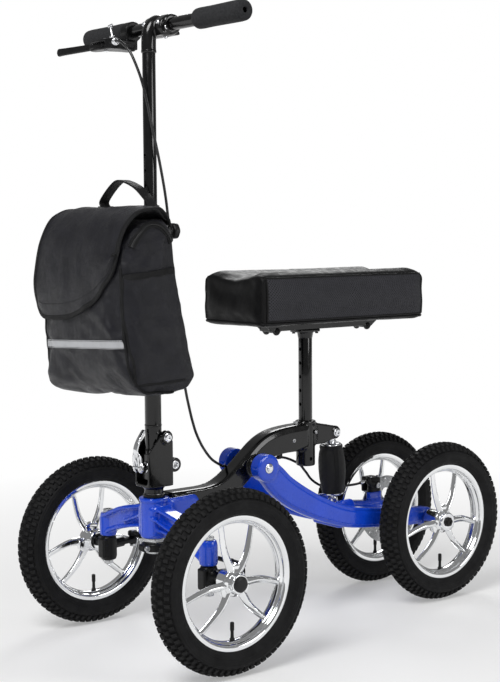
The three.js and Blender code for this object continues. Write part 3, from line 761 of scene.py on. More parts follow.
def rim_shape(edge, half, inner, hub_in, hub_out):
    """Hoop, six blades in three pairs, and a stepped hub. Outward is +Y."""
    outer_half = [(edge + 0.7, half - 0.8), (edge - 0.5, half + 1.0), (edge - 8, half + 0.4),
                  (edge - 10.5, half - 2.4),
                  (edge - 11.5, half - 6.0), (inner + 2.0, half - 7.5), (inner + 0.2, half - 10)]
    inner_half = [(r, -y) for r, y in reversed(outer_half)]
    well = [(edge - 1, -half + 2.2), (edge - 6, -half + 3), (edge - 9, -8), (edge - 9, 8),
            (edge - 6, half - 3),
            (edge - 1, half - 2.2)]
    hoop = lathe(rounded(outer_half + [(inner - 0.6, 0)] + inner_half + well, 1.3, 2), 128, closed=True)
    barrel = rounded([(7, hub_in), (17.5, hub_in), (19, hub_in + 2), (19, 2), (23, 4), (23, 10), (17.5, 13),
                      (16.5, hub_out - 1.5), (15.5, hub_out), (7, hub_out)], 1.0, 2)
    shapes = [hoop, lathe(barrel, 64, closed=True)]
    for pair in (6, 118, 240):
        for lean in (-1, 1):
            shapes.append(placed(blade(inner, lean), turned(-pair, "Y")))
        web = rounded([(-11, 12), (11, 12), (13, 27), (0, 33), (-13, 27)], 3, 3)
        shapes.append(placed(slab(web, -1, 9.5, 1.5), turned(-pair, "Y")))
    return merge(*shapes)


def blade(inner, lean):
    """One spoke of a pair. It leaves the hub close to its twin and swells outwards on its way to the hoop."""
    tip = math.radians(18.8)
    path = curve([(lean * 3, 5, 12), (lean * 11, 6.4, 25), (lean * 20.5, 5.6, 43), (lean * 26.5, 3.4, 63),
                  (lean * (inner + 1.5) * math.sin(tip), 0.5, (inner + 1.5) * math.cos(tip))], 18)
    section = rounded([(-9.2, 0.5), (-6.2, -4.4), (6.2, -4.4), (9.2, 0.5), (1.6, 6.2), (-1.6, 6.2)], 1.0, 2)

    def taper(t):
        width = 1.04 - 0.46 * t ** 0.7
        depth = 1.08 - 0.34 * t
        return width, depth

    return sweep(path, section, up=(0, 1, 0), scale=taper)


def valve_shape(inner):
    stem = lathe(rounded([(0, 0), (4.4, 0), (4.4, 2), (2.9, 3.6), (2.7, 15), (3.5, 16), (3.5, 28.5),
                          (2.6, 29.6),
                          (0, 29.6)], 0.4, 1, closed=False), 20)
    return placed(stem, toward((0, 0, -inner + 0.4), (0, 0, 1)))


def hub_cap_shape(hub_out):
    """A black dome with five shallow flutes."""
    profile = [(0, 0), (13.2, 0), (13.6, 0.8), (13.4, 2.0), (11.8, 3.4), (8, 4.3), (0, 4.6)]
    dome = lathe(profile, 60, wobble=lambda a: 1 - 0.035 * (1 + math.cos(5 * a)) / 2)
    return placed(dome, at(0, hub_out + 0.3, 0))


def wheel(name):
    low, high = span(name + "_tyre")
    mid = (low + high) / 2
    outer = (high.z - low.z) / 2
    half = (high.y - low.y) / 2 * 1.02
    rim_low, rim_high = span(name + "_rim")
    edge = (rim_high.z - rim_low.z) / 2
    spin = Matrix.Identity(4) if mid.y > 0 else turned(180, "Z")
    hub = [rim_low.y - mid.y, rim_high.y - mid.y] if mid.y > 0 else [mid.y - rim_high.y, mid.y - rim_low.y]
    inner = edge - 15.5
    place = at(*mid) @ spin
    body = name + "_wheel"
    build(name + "_tyre_knobbly", placed(tyre_shape(outer, half), place), TYRE, body, name + "_tyre",
          sharp=38)
    build(name + "_rim_cast", placed(rim_shape(edge, 15, inner, *hub), place), CHROME, body, name + "_rim",
          sharp=34)
    build(name + "_valve_stem", placed(valve_shape(inner), place), RUBBER, body, name + "_valve")
    if "front" in name:
        build(name + "_dome_cap", placed(hub_cap_shape(hub[1]), place), PLASTIC, body, name + "_hub_cap")


for wheel_name in ("left_front", "right_front", "left_rear", "right_rear"):
    wheel(wheel_name)


# ------------------------------------------------------------------ front yoke and steering
def mirrored(shape):
    """The same shape on the other side of the centre plane."""
    verts, faces = shape
    return [(v[0], -v[1], v[2]) for v in verts], faces


def both(shape):
    return merge(shape, mirrored(shape))


def hex_bolt(profile, half, r, head_r, head_h=5, socket=False):
    """A shank across the frame at (x, z), with a washer and a head at each end."""
    x, z = profile
    shapes = [crossbar(profile, -half, half, r, 24, 0.3)]
    for side in (-1, 1):
        face, direction = Vector((x, side * half, z)), Vector((0, side, 0))
        shapes.append(bar(face, face + direction * 1.2, head_r + 1.6, 32, 0.3))
        shapes.append(bolt_head(face + direction * 1.2, direction, head_r, head_h - 1.2, socket))
    return merge(*shapes)


def front_yoke():
    arm_top = curve([(311, 14, 249), (311, 48, 243), (311, 96, 232), (311, 136, 216), (311, 154, 211)], 20)
    arm_low = curve([(311, 16, 212), (311, 48, 209), (311, 92, 199), (311, 124, 190), (311, 142, 182)], 20)
    web = [(p.y, p.z) for p in arm_top] + [(p.y, p.z) for p in reversed(arm_low)]
    cheek = rounded([(300, 264), (240, 266), (224, 240), (232, 206), (300, 204)], 7, 4)
    boss = lathe(rounded([(0, 173), (14.6, 173), (15.6, 176), (15.6, 206), (13.5, 215), (0, 216)], 1.5, 3,
                         False), 40)
    side = merge(
        slab(web, 303, 319, 2.5, "yz"),
        sweep(arm_top, rectangle(30, 7, 2.5), up=(0, 0, 1)),
        sweep(arm_low, rectangle(25, 6, 2.5), up=(0, 0, 1)),
        slab(cheek, 18.4, 25.6, 2.2),
        slab(inset(cheek, 5), 24, 27.2, 1.2),
        placed(boss, at(KING_X, KING_Y, 0) @ turned(90, "X")),
        block((298, 137, 178), (322, 158, 212), 3, 5),
        sweep([(331, 10, 236), (326, 44, 224), (322, 84, 211)], rectangle(8, 5, 2), up=(0, 0, 1)),
    )
    shapes = merge(
        both(side),
        upright(STEM, 196.2, 266, 24.6, 48, 1.6),
        block((296, -24, 199), (334, 24, 250), 3, 9),
        upright(STEM, 259, 266, 26.4, 48, 1.2),
        block((232, -25, 203.6), (300, 25, 210.5), 1.5, 4),
    )
    fuse("front_yoke_casting", shapes, BLUE, "frame", "front_yoke", 1.5, 5)


def front_yoke_details():
    for side, name in ((1, "left"), (-1, "right")):
        pin = merge(
            upright((KING_X, side * KING_Y), 121, 219, 6, 24),
            bolt_head((KING_X, side * KING_Y, 216.3), (0, 0, 1), 9.6, 5, True),
            bolt_head((KING_X, side * KING_Y, 127.6), (0, 0, -1), 9.2, 6.5, False),
        )
        build(name + "_kingpin_bolt", pin, ZINC, name + "_knuckle", name + "_kingpin")
    upper = lathe(rounded([(15.3, 266.4), (19, 266.4), (19, 272), (15.3, 272)], 0.8, 2), 64, closed=True)
    lower = merge(
        lathe(rounded([(15.3, 191.5), (22, 191.5), (22, 195.7), (15.3, 195.7)], 0.6, 2), 64, closed=True),
        placed(slab(hexagon(21.5), 0, 3.4, 0.8), at(0, 192.4, 0) @ turned(180, "X")),
    )
    stand = at(*STEM, 0) @ turned(90, "X")
    build("upper_bearing_ring", placed(upper, stand), SATIN, "frame", "upper_head_bearing")
    build("lower_bearing_nut", placed(lower, stand), ZINC, "frame", "lower_head_bearing")


def capsule(a, b, r, steps=8):
    """An outline round two points, in plan."""
    heading = math.degrees(math.atan2(b[1] - a[1], b[0] - a[0]))
    return arc(b[0], b[1], r, heading - 90, heading + 90, steps) + arc(a[0], a[1], r, heading + 90,
                                                                       heading + 270, steps)


def knuckle(side, name):
    y = side * KING_Y
    ball = (250, side * 162)
    shapes = merge(
        upright((KING_X, y), 128.4, 171.6, 14, 40, 1.5),
        block((297, y - 11, 132), (327, y + 11, 168), 2, 4),
        crossbar(FRONT_AXLE, y, side * 189.2, 11, 40, 2, 9),
        crossbar(FRONT_AXLE, y, side * 172, 15, 40, 4, 11),
        slab(capsule((KING_X, y), ball, 8), 150, 159, 2, "xy"),
        slab(capsule((KING_X, y), (275, y + side * 6), 4), 146, 163, 2, "xy"),
        upright((ball[0], ball[1]), 146, 161, 7.5, 24, 1.5),
    )
    fuse(name + "_knuckle_casting", shapes, SATIN, name + "_knuckle", name + "_knuckle", 1.2, 4)
    axle = merge(
        crossbar(FRONT_AXLE, side * 188, side * 231, 6, 32),
        upright((ball[0], ball[1]), 158, 171.5, 3.5, 20),
        bolt_head((ball[0], ball[1], 146), (0, 0, -1), 6, 4, False),
    )
    build(name + "_stub_axle", axle, ZINC, name + "_knuckle")


def tie_rod(side, name):
    a = Vector((253, side * 10, 166))
    b = Vector((250, side * 162, 166))
    along = (b - a).normalized()
    eye = lathe(rounded([(4.6, -4.5), (7, -5), (9, -3), (9, 3), (7, 5), (4.6, 4.5)], 1, 2), 32, closed=True)
    shapes = [placed(eye, at(*p) @ turned(90, "X")) for p in (a, b)]
    shapes.append(bar(a + along * 8, b - along * 8, 4, 24))
    for p, way in ((a, along), (b, -along)):
        nut = slab(rounded(hexagon(6.4), 0.5, 2), 22, 28, 0.6)
        shapes.append(placed(nut, toward(p, way)))
        shapes.append(bar(p + way * 7.5, p + way * 22, 5.4, 24, 0.8))
    build(name + "_tie_rod_linkage", merge(*shapes), SATIN, name + "_tie_rod", name + "_tie_rod")


def pitman_arm():
    plates = merge(*[slab(capsule(STEM, (253, s * 10), 9), 172, 180, 1.5, "xy") for s in (1, -1)])
    shapes = merge(
        plates,
        upright(STEM, 172, 186, 22, 48, 1.2),
        block((330, -9, 173), (342, 9, 185), 1.5, 3),
    )
    fuse("pitman_arm_forging", shapes, SATIN, "steering_column", "pitman_arm", 1.2, 3)
    studs = merge(*[upright((253, s * 10), 160.5, 173, 4, 20) for s in (1, -1)],
                  *[bolt_head((253, s * 10, 180), (0, 0, 1), 6, 4, False) for s in (1, -1)],
                  crossbar((336, 179), -11, 11, 3, 20),
                  bolt_head((336, 9, 179), (0, 1, 0), 5, 4, True))
    build("pitman_studs", studs, ZINC, "steering_column")


# ------------------------------------------------------------------ folding joint
LUG = at(270, 0, 318)


def steerer_bracket():
    """A pressed U channel on the steerer's collar, with hinge ears and a lug behind."""
    wall = rounded([(287, 287), (338, 287), (338, 345), (326, 378)], 4, 3, False)
    wall = wall[:-1] + arc(*HINGE, 13, 45, 180, 12)
    notch = rounded([(-16.6, 346), (-16.6, 291), (16.6, 291), (16.6, 346)], 6, 4, False)
    front = [(-21.4, 346)] + notch + [(21.4, 346), (21.4, 290), (14, 285.5), (-14, 285.5), (-21.4, 290)]
    rib = [(276, 311), (288, 307), (288, 329), (276, 325)]
    ring = lathe(rounded([(6.2, -5), (12.8, -5), (12.8, 5), (6.2, 5)], 1.6, 3), 48, closed=True)
    boss = lathe(rounded([(5.5, 20.5), (12.2, 20.5), (12.2, 23.4), (9.4, 24.2), (5.5, 24.2)], 0.8, 2), 40,
                 closed=True)
    shapes = merge(
        both(slab(wall, 17.0, 21.6, 1.2)),
        slab(front, 334.4, 338.4, 1.2, "yz"),
        block((286, -21.6, 286), (290.6, 21.6, 364), 1, 1.5),
        block((287, -21.6, 285.4), (338, 21.6, 290), 1.5, 4),
        slab(rib, -4.5, 4.5, 1.2),
        placed(ring, LUG),
        both(placed(boss, Matrix.Translation(centre("fold_hinge_bolt")))),
        upright(STEM, 272.4, 288, 16.5, 48, 1.2),
        upright(STEM, 282, 288, 19, 48, 2),
    )
    fuse("steerer_bracket_shell", shapes, BLACK, "steering_column", "steerer_bracket", 1.1, 3)
    build("steerer_tube", upright(STEM, 168, 287, 15, 48), ZINC, "steering_column")
    hinge = hex_bolt(HINGE, 24.4, 4.6, 6.2, 4.6, True)
    build("hinge_bolt", hinge, BRIGHT, "steering_column", "fold_hinge_bolt")
    eyelet = lathe(rounded([(4.6, -5.6), (7.4, -5.6), (7.4, 5.6), (4.6, 5.6)], 0.6, 2), 40, closed=True)
    build("rear_lug_eyelet", placed(eyelet, LUG), BRIGHT, "steering_column")


def fold_lever():
    """A cam lever of curved chrome strap, wide at the cam and narrow at the tip."""
    path = curve([(344, 0, 326), (348.5, 0, 340), (350, 0, 352), (345, 0, 366), (338, 0, 377),
                  (332.5, 0, 385)], 24)
    strap = sweep(path, rectangle(20, 4.2, 1.9, 4), up=(0, 1, 0),
                  scale=lambda t: (0.2 + 0.05 * math.sin(math.pi * t), 3.2 - 1.1 * t))
    cam = both(merge(crossbar((342, DRAW_Z), 4.8, 10.4, 9, 40, 1.2),
                     crossbar((342, DRAW_Z), 10.2, 12, 5, 24)))
    cheek = both(slab(rounded([(337, 323), (350, 322), (352, 338), (350, 348), (343, 342)], 3, 3), 4.9, 9.8,
                      1.2))
    fuse("fold_cam_lever", merge(strap, cam, cheek), BRIGHT, "fold_lever", "fold_lever", 0.9, 4)


def draw_bolt():
    washer = lathe(rounded([(3, 0), (10, 0), (10, 2.2), (7, 4), (3, 4)], 0.5, 2), 40, closed=True)
    shapes = merge(
        bar((296, 0, DRAW_Z), (342, 0, DRAW_Z), 3.5, 24),
        bolt_head((297, 0, DRAW_Z), (-1, 0, 0), 6.3, 4, False),
        placed(washer, toward((329.3, 0, DRAW_Z), (1, 0, 0))),
        crossbar((342, DRAW_Z), -11.6, 11.6, 4, 24),
    )
    build("draw_bolt_and_washer", shapes, BRIGHT, "stem", "draw_bolt")


# ------------------------------------------------------------------ stem, mast and bar clamp
def stem():
    foot = merge(
        block((297, -15.2, 296.5), (329, 15.2, 343), 1.5, 4),
        slab(rounded([(300, 362.5), (316, 362.5), (316, 379.5), (300, 379.5)], 2, 2), -15.8, 15.8, 1),
        crossbar(HINGE, -15.8, 15.8, 8.5, 32, 0.8),
        upright(STEM, 300, 392, 14.6, 48),
        upright(STEM, 340, 352, 15.8, 48, 5),
    )
    fuse("stem_foot", foot, BLACK, "stem", None, 1.1, 3)
    tube = merge(
        pipe((*STEM, 380), (*STEM, 744), 14.5, 11.6),
        pipe((*STEM, 712), (*STEM, 744.4), 18.5, 13.5, 56, 1.2),
        pipe((*STEM, 739), (*STEM, 748), 16.5, 11.6, 56, 1.8),
        bar((283, 0, KNOB_Z), (300, 0, KNOB_Z), 9, 32, 1),
        upright(STEM, 390, 394, 15.1, 48, 1.8),
    )
    build("stem_tube_and_collar", tube, BLACK, "stem", "stem_tube")


def height_knob():
    grip = lathe(rounded([(0, 0), (9, 0), (14, 2.5), (14.4, 9), (12.5, 12.6), (7.2, 13.5), (7.2, 24),
                          (0, 24)], 1.1, 3, False),
                 90, wobble=lambda a: 1 - 0.045 * (1 + math.cos(6 * a)) / 2)
    shapes = merge(placed(grip, toward((258, 0, KNOB_Z), (1, 0, 0))),
                   bar((281, 0, KNOB_Z), (300.5, 0, KNOB_Z), 4, 24))
    build("stem_knob", shapes, PLASTIC, "height_knob", "height_knob")


def mast():
    tube = build("mast_tube", pipe((*STEM, 560), (*STEM, 1040), 11.3, 9.3, 64), BLACK, "handlebar", "mast")
    holes = [bar((295, 0, KNOB_Z + 25.6 * k), (331, 0, KNOB_Z + 25.6 * k), 3.3, 20, 0.2) for k in range(6)]
    carve(tube, merge(*holes), BLACK)


def gooseneck():
    path = curve([(*STEM, 1029), (*STEM, 1046), (311.5, 0, 1062), (305, 0, 1075), (295, 0, 1081),
                  (285, 0, 1081)], 30)
    cap = slab(rounded([(264, 1060), (299, 1054), (304, 1062), (299, 1067), (268, 1068)], 3, 3), -26, 26, 2)
    shapes = merge(
        sweep(path, circle(12.6, 40), up=(0, 1, 0)),
        crossbar(BAR, -33.5, 33.5, 17.2, 56, 2.4),
        cap,
        upright(STEM, 1028, 1033, 13.2, 48, 1.2),
        slab(rounded([(276, 1058), (306, 1056), (311, 1068), (307, 1083), (293, 1093), (277, 1092)], 5, 3),
             -27, 31, 3.5),
    )
    fuse("gooseneck_casting", shapes, BLACK, "handlebar", "gooseneck", 1.1, 4)
    bolts = merge(*[bolt_head((307.6, y, 1078), (0.9, 0, 0.4), 4.2, 4.4, True) for y in (-18, 22)],
                  *[bolt_head((290, y, 1057), (0.2, 0, -1), 4, 3.6, True) for y in (-17, 17)],
                  bolt_head((298, 30.4, 1070), (0, 1, 0), 4, 3, True))
    build("clamp_screws", bolts, BRIGHT, "handlebar")


def handlebar():
    build("bar_tube", pipe((BAR[0], -226, BAR[1]), (BAR[0], 226, BAR[1]), 11, 9, 56, 0.6), BLACK, "handlebar",
          "handlebar")
    for side, name in ((1, "left"), (-1, "right")):
        long = 125
        profile = [(11.4, 0), (14.5, 0), (17, 2.4), (17.5, 12), (17.1, 40), (17.4, 80), (17.6, 110),
                   (17.0, long - 4),
                   (14.6, long - 0.6), (10, long), (5.4, long), (4.6, long - 1.5), (4.6, long - 4),
                   (11.4, long - 4)]
        sleeve = lathe(rounded(profile, 1.8, 3), 72, closed=True)
        build(name + "_foam_grip", placed(sleeve, toward((BAR[0], side * 104, BAR[1]), (0, side, 0))), FOAM,
              "handlebar",
              name + "_grip", sharp=40)


# ------------------------------------------------------------------ brake lever, adjuster and latch
def brake_controls():
    plan = rounded([(285, -80), (302, -78), (332, -64), (346, -66), (351, -97), (348, -130), (334, -133),
                    (326, -111),
                    (304, -104), (285, -104)], 3.5, 3)
    nose = rounded([(304, -80), (332, -64), (346, -66), (349, -83), (326, -83), (306, -100)], 3, 3)
    bracket = merge(
        crossbar(BAR, -103.8, -83.8, 17.4, 48, 1.4),
        slab(plan, 1054.6, 1059, 1, "xy"),
        slab(plan, 1041, 1045.4, 1, "xy"),
        slab(nose, 1042, 1058, 1.5, "xy"),
        slab(rounded([(285, -81), (304, -80), (312, -88), (310, -102), (285, -103.5)], 3, 3), 1042, 1058, 1.5,
             "xy"),
        block((277, -103.5, 1044), (301, -84, 1070), 2, 3),
        bar((340, -72, 1052), (338.5, -64, 1052), 7.5, 32, 1),
    )
    fuse("brake_lever_bracket", bracket, SATIN, "handlebar", "brake_bracket", 1.1, 4)
    pivot = merge(upright((336, -97), 1040, 1060, 3, 24), bolt_head((336, -97, 1058.6), (0, 0, 1), 5, 2.6,
                                                                    True),
                  bolt_head((336, -97, 1041.4), (0, 0, -1), 4.6, 3, False),
                  bolt_head((300, -94, 1056), (1, 0, 0), 3.6, 3, True))
    build("brake_pivot_screw", pivot, BRIGHT, "handlebar")
    knurl = lathe([(2.6, 0), (6.4, 0), (6.9, 1), (6.9, 8), (6.2, 9), (4.6, 9.6), (4.6, 13), (3.6, 16.5),
                   (2.6, 16.5)],
                  72, closed=True, wobble=lambda a: 1 - 0.035 * (1 + math.cos(18 * a)) / 2)
    build("barrel_adjuster", placed(knurl, toward((339, -65.4, 1052), (0.36, 0.93, 0))), BRIGHT, "handlebar")
    root = rounded([(331, -97), (333, -141), (343, -141), (343, -111), (341, -96), (336, -90)], 3, 3)
    blade = curve([(338, -136, 1050), (341.5, -187, 1050), (344, -222, 1050), (344.6, -236, 1050)], 24)
    lever = merge(
        slab(root, 1046.2, 1054, 1.2, "xy"),
        upright((336, -97), 1046.2, 1054, 8, 32, 1),
        sweep(blade, rectangle(5, 14, 2, 3), up=(0, 0, 1), scale=lambda t: (1, 0.84 + 0.16 * t)),
        bar((342, -236.5, 1050), (347, -236.5, 1050), 7.2, 36, 1.6),
    )
    fuse("brake_lever_blade", lever, SATIN, "brake_lever", "brake_lever", 0.9, 3)
    latch = merge(
        upright((336, -76), 1059.2, 1063.5, 5.4, 32, 0.8),
        bar((336, -76, 1061), (334, -85, 1081), 2.1, 20, 0.5),
        bar((334, -91, 1081), (334, -79, 1083), 2.3, 20, 1),
    )
    build("parking_latch_pin", latch, BRIGHT, "parking_latch", "parking_latch")


front_yoke()
front_yoke_details()
for side_sign, side_name in ((1, "left"), (-1, "right")):
    knuckle(side_sign, side_name)
    tie_rod(side_sign, side_name)
pitman_arm()
steerer_bracket()
fold_lever()
draw_bolt()
stem()
height_knob()
mast()
gooseneck()
handlebar()
brake_controls()


# ------------------------------------------------------------------ main frame
SPINE_TOP = [(286, 272), (262, 272), (235, 272), (205, 272.5), (178, 278), (150, 294), (120, 318), (95, 338),
             (72, 351),
             (45, 359), (10, 363), (-36, 364.5)]
SPINE_LOW = [(-36, 313), (0, 313.5), (25, 313), (50, 310), (70, 304), (92, 291), (115, 271), (138, 253),
             (162, 239),
             (190, 226), (215, 219), (240, 215.5), (286, 213)]


def ring_weld(place, direction, r, size=2.2, waves=30):
    """A rippled weld bead round a tube."""
    section = [(r + size * math.cos(TAU * k / 8), size * math.sin(TAU * k / 8)) for k in range(8)]
    bead = lathe(section, 180, closed=True, wobble=lambda a: 1 + 0.022 * abs(math.sin(waves * a / 2)))
    return placed(bead, toward(place, direction))


def bead(points, size=2.0, pitch=2.6):
    """A rippled weld bead along a line."""
    line = curve(points, 120)
    length = sum((b - a).length for a, b in zip(line, line[1:]))
    ripples = max(2, round(length / pitch))
    return sweep(line, circle(size, 8), scale=lambda t: (1 + 0.16 * math.cos(TAU * ripples * t),) * 2)


def main_frame():
    top = [(p.x, p.z) for p in side_curve(SPINE_TOP, 44)]
    low = [(p.x, p.z) for p in side_curve(SPINE_LOW, 44)]
    lug = rounded([(-36, 322), (-70, 322), (-92, 328)], 8, 3, False)
    lug += arc(-99.8, 341, 13, -70, -270, 14) + [(-60, 362), (-36, 366)]
    shapes = merge(
        slab(top + low, -18, 18, 6.5, "xz", 4),
        slab(inset(top + low, 9), -19.6, 19.6, 1.6),
        upright(SEAT, 283, 368, 18, 56, 1.5),
        upright(SEAT, 362, 369, 19.6, 56, 1.5),
        crossbar(PIVOT, -35.4, 35.4, 14, 48, 1),
        crossbar(PIVOT, -27, 27, 18.5, 48, 3),
        both(slab(lug, 11.4, 16, 1.5)),
        block((-64, -13, 330), (-44, 13, 362), 2, 3),
        crossbar((SEAT_X, 340), -12, -26, 9, 32, 1),
        both(crossbar((-99.8, 341), 11.4, 17.6, 9.5, 32, 1)),
    )
    spine = fuse("main_frame_weldment", shapes, BLACK, "frame", "main_frame", 1.6, 5)
    bores = merge(upright(SEAT, 270, 330, 13.6, 48, 0.2),
                  crossbar((SEAT_X + 2, 297), 10, 30, 3.6, 20, 0.2))
    carve(spine, bores, BLACK)
    welds = merge(
        *[ring_weld((PIVOT[0], y, PIVOT[1]), (0, 1, 0), 18.2, 2) for y in (18.5, -18.5)],
        both(bead([(-18.6, 10, 364), (-19.6, 15.5, 357), (-20.4, 17.4, 340), (-20, 16.6, 322),
                   (-19, 11, 312.5)], 1.9)),
        both(bead([(-50, 13.6, 364.5), (-52.6, 15.4, 352), (-52, 15.6, 338), (-50, 14, 323)], 1.9)),
    )
    build("frame_weld_beads", welds, BLACK, "frame", sharp=60)
    small = merge(
        bolt_head((-12, 0, 364.4), (0, 0, 1), 5, 4, True),
        bolt_head((-47, 17.4, 347), (-0.4, 0.9, 0), 4, 2.6, True),
        bolt_head((8, 18.6, 336), (0, 1, 0), 3.6, 2.2, True),
    )
    build("frame_small_screws", small, ZINC, "frame")
    ends = both(merge(crossbar(PIVOT, 0, 61, 8, 40),
                      placed(lathe(rounded([(0, 58.5), (8.8, 58.5), (8.8, 60.4), (0, 60.4)], 0.5, 2, False),
                                   48),
                             AT_PIVOT),
                      placed(slab(rounded(hexagon(6.4), 0.6, 2), 60.2, 63.4, 0.8), AT_PIVOT),
                      placed(lathe([(0, 63), (3.8, 63), (3.5, 64.2), (0, 64.2)], 32), AT_PIVOT)))
    build("pivot_shaft_and_nuts", ends, BRIGHT, "frame", "swing_arm_pivot_shaft")


# ------------------------------------------------------------------ seat post, rail and cushion
def seat_support():
    post = build("seat_post_tube", pipe((*SEAT, 300), (*SEAT, 540), 13, 10.5, 64), BLACK, "seat",
                 "seat_post")
    holes = [bar((SEAT_X - 20, 0, 400 + 26 * k), (SEAT_X + 20, 0, 400 + 26 * k), 3.4, 20,
                 0.2) for k in range(5)]
    carve(post, merge(*holes), BLACK)
    flange = merge(
        block((SEAT_X - 26, -16, 536), (SEAT_X + 26, 16, 541.6), 1.2, 5),
        upright(SEAT, 524, 537, 13.6, 48, 1, 15.5),
    )
    fuse("seat_post_flange", flange, BLACK, "seat", None, 1.1, 3)
    rail = [
        block((-196, -16, 541.4), (62, 16, 545), 1, 2),
        both(block((-196, 12.4, 541.4), (62, 16, 556), 1, 1.4)),
        block((-196, -16, 541.4), (-192, 16, 552), 1, 1.4),
        block((58, -16, 541.4), (62, 16, 552), 1, 1.4),
    ]
    for tip, low, high in ((46, 16, 80), (-182, -218, -148)):
        wall = rounded([(tip - 8, 539), (tip - 4, 534), (tip + 4, 534), (tip + 8, 539), (high, 558.6),
                        (low, 558.6)], 3.5, 4)
        rail.append(both(slab(wall, 12.6, 16.4, 0.9)))
        rail.append(both(crossbar((tip, 540.5), 12.4, 17.6, 5.6, 28, 0.8)))
        rail.append(block((low, -16.4, 554.6), (high, 16.4, 558.7), 1, 4))
    fuse("pad_rail_and_brackets", merge(*rail), BLACK, "seat", "pad_rail", 1.0, 3)
    bolts = [hex_bolt((tip, 540.5), 17.4, 2.6, 3.6, 2.6, True) for tip in (46, -182)]
    bolts += [bolt_head((SEAT_X + a, 11 * s, 535.6), (0, 0, -1), 3.4, 2.6, False)
              for a in (-19, 19) for s in (1, -1)]
    build("rail_bolts", merge(*bolts), SATIN, "seat")
    build("pad_base_board", block((-251, -81, 558.9), (123, 81, 565), 1.6, 12), TAPE, "seat", "pad_board")


def relax(obj, cap, pressure=4.0, stiffness=12.0, frames=20):
    """A short cloth simulation under air pressure. No point moves further than cap, in mm."""
    start = [v.co.copy() for v in obj.data.vertices]
    cloth = obj.modifiers.new("cloth", "CLOTH")
    rules = cloth.settings
    rules.use_pressure = True
    rules.uniform_pressure_force = pressure
    rules.effector_weights.gravity = 0
    rules.quality = 5
    rules.mass = 0.3
    rules.tension_stiffness = stiffness
    rules.compression_stiffness = stiffness
    rules.shear_stiffness = stiffness / 3
    rules.bending_stiffness = 0.4
    scene = bpy.context.scene
    cloth.point_cache.frame_start = 1
    cloth.point_cache.frame_end = frames
    for frame_number in range(1, frames + 1):
        scene.frame_set(frame_number)
    bake(obj)
    scene.frame_set(1)
    for v, rest in zip(obj.data.vertices, start):
        moved = v.co - rest
        if moved.length > cap * MM:
            v.co = rest + moved.normalized() * cap * MM


def soft_body(name, shape, material, voxel, cap, pressure=4.0, sculpt=None):
    """A soft stuffed piece: remeshed, blown up by cloth, subdivided, then creased by sculpt()."""
    obj = build(name, shape, material, sharp=None)
    remesh = obj.modifiers.new("skin", "REMESH")
    remesh.mode = "VOXEL"
    remesh.voxel_size = voxel * MM
    bake(obj)
    relax(obj, cap, pressure)
    obj.modifiers.new("soften", "SMOOTH").iterations = 2
    obj.modifiers.new("finer", "SUBSURF").levels = 1
    bake(obj)
    if sculpt:
        moves = [v.normal * (sculpt(v.co / MM, v.normal) * MM) for v in obj.data.vertices]
        for v, move in zip(obj.data.vertices, moves):
            v.co += move
    dress(obj, material, None)
    return obj


def fold(p, centre_point, along, width, length, depth):
    """One soft crease: a trough across a direction, fading along it."""
    d = p - Vector(centre_point)
    a = Vector(along).normalized()
    run = d.dot(a)
    off = (d - a * run).length
    return depth * math.exp(-(off / width) ** 2 - (run / length) ** 2)


def skin_tree(obj):
    mesh = obj.data
    return BVHTree.FromPolygons([v.co / MM for v in mesh.vertices],
                                [tuple(p.vertices) for p in mesh.polygons])


def touch(tree, outside, inside, lift=0.0):
    """Where a ray from outside to inside meets a skin, raised by lift: (point, normal)."""
    a, b = Vector(outside), Vector(inside)
    hit, normal, _, _ = tree.ray_cast(a, (b - a).normalized())
    if hit is None:
        hit, normal = b, (a - b).normalized()
    if normal.dot(a - b) < 0:
        normal = -normal
    return hit + normal * lift, normal


def sheet(rows, lift, thickness):
    """A closed sheet from a grid of (point, normal)."""
    verts = [p + n * (lift + thickness) for row in rows for p,
             n in row] + [p + n * lift for row in rows for p, n in row]
    count, across = len(rows), len(rows[0])
    half = count * across
    faces = []
    for i in range(count - 1):
        for j in range(across - 1):
            a = i * across + j
            faces.append((a, a + 1, a + 1 + across, a + across))
            faces.append((half + a + across, half + a + 1 + across, half + a + 1, half + a))
    border = [j for j in range(across)] + [i * across + across - 1 for i in range(1, count)]
    border += [(count - 1) * across + j for j in range(across - 2, -1,
                                                       -1)] + [i * across for i in range(count - 2, 0, -1)]
    for a, b in zip(border, border[1:] + border[:1]):
        faces.append((b, a, half + a, half + b))
    return verts, faces


def ribbon(line, width, thickness, lift=0.0, closed=False, rounding=0.45):
    """A strap along a list of (point, normal), lying on the surface."""
    section = rectangle(width, thickness, rounding * min(width, thickness), 3)
    m, n = len(section), len(line)
    verts, faces = [], []
    for i, (p, normal) in enumerate(line):
        ahead = line[(i + 1) % n][0] if closed else line[min(i + 1, n - 1)][0]
        behind = line[i - 1][0] if closed else line[max(i - 1, 0)][0]
        side = normal.cross(ahead - behind).normalized()
        verts.extend(p + side * u + normal * (v + lift) for u, v in section)
    for i in range(n if closed else n - 1):
        for k in range(m):
            q = ((i + 1) % n) * m
            faces.append((i * m + k, i * m + (k + 1) % m, q + (k + 1) % m, q + k))
    if not closed:
        faces.append(tuple(range(m))[::-1])
        faces.append(tuple(range((n - 1) * m, n * m)))
    return verts, faces


def stitches(line, pitch=4.2, length=2.6, lift=0.2):
    """A row of short thread stitches along a list of (point, normal)."""
    shapes, carried = [], 0.0
    for (p, n), (q, _) in zip(line, line[1:]):
        step = (q - p).length
        while carried < step:
            t = carried / step
            spot = p + (q - p) * t + n * lift
            ahead = (q - p).normalized() * length / 2
            shapes.append(sweep([spot - ahead, spot + n * 0.25, spot + ahead], circle(0.42, 6)))
            carried += pitch
        carried -= step
    return merge(*shapes) if shapes else ([], [])


PAD_LOW, PAD_HIGH = Vector((-263, -88, 567)), Vector((135, 88, 653))


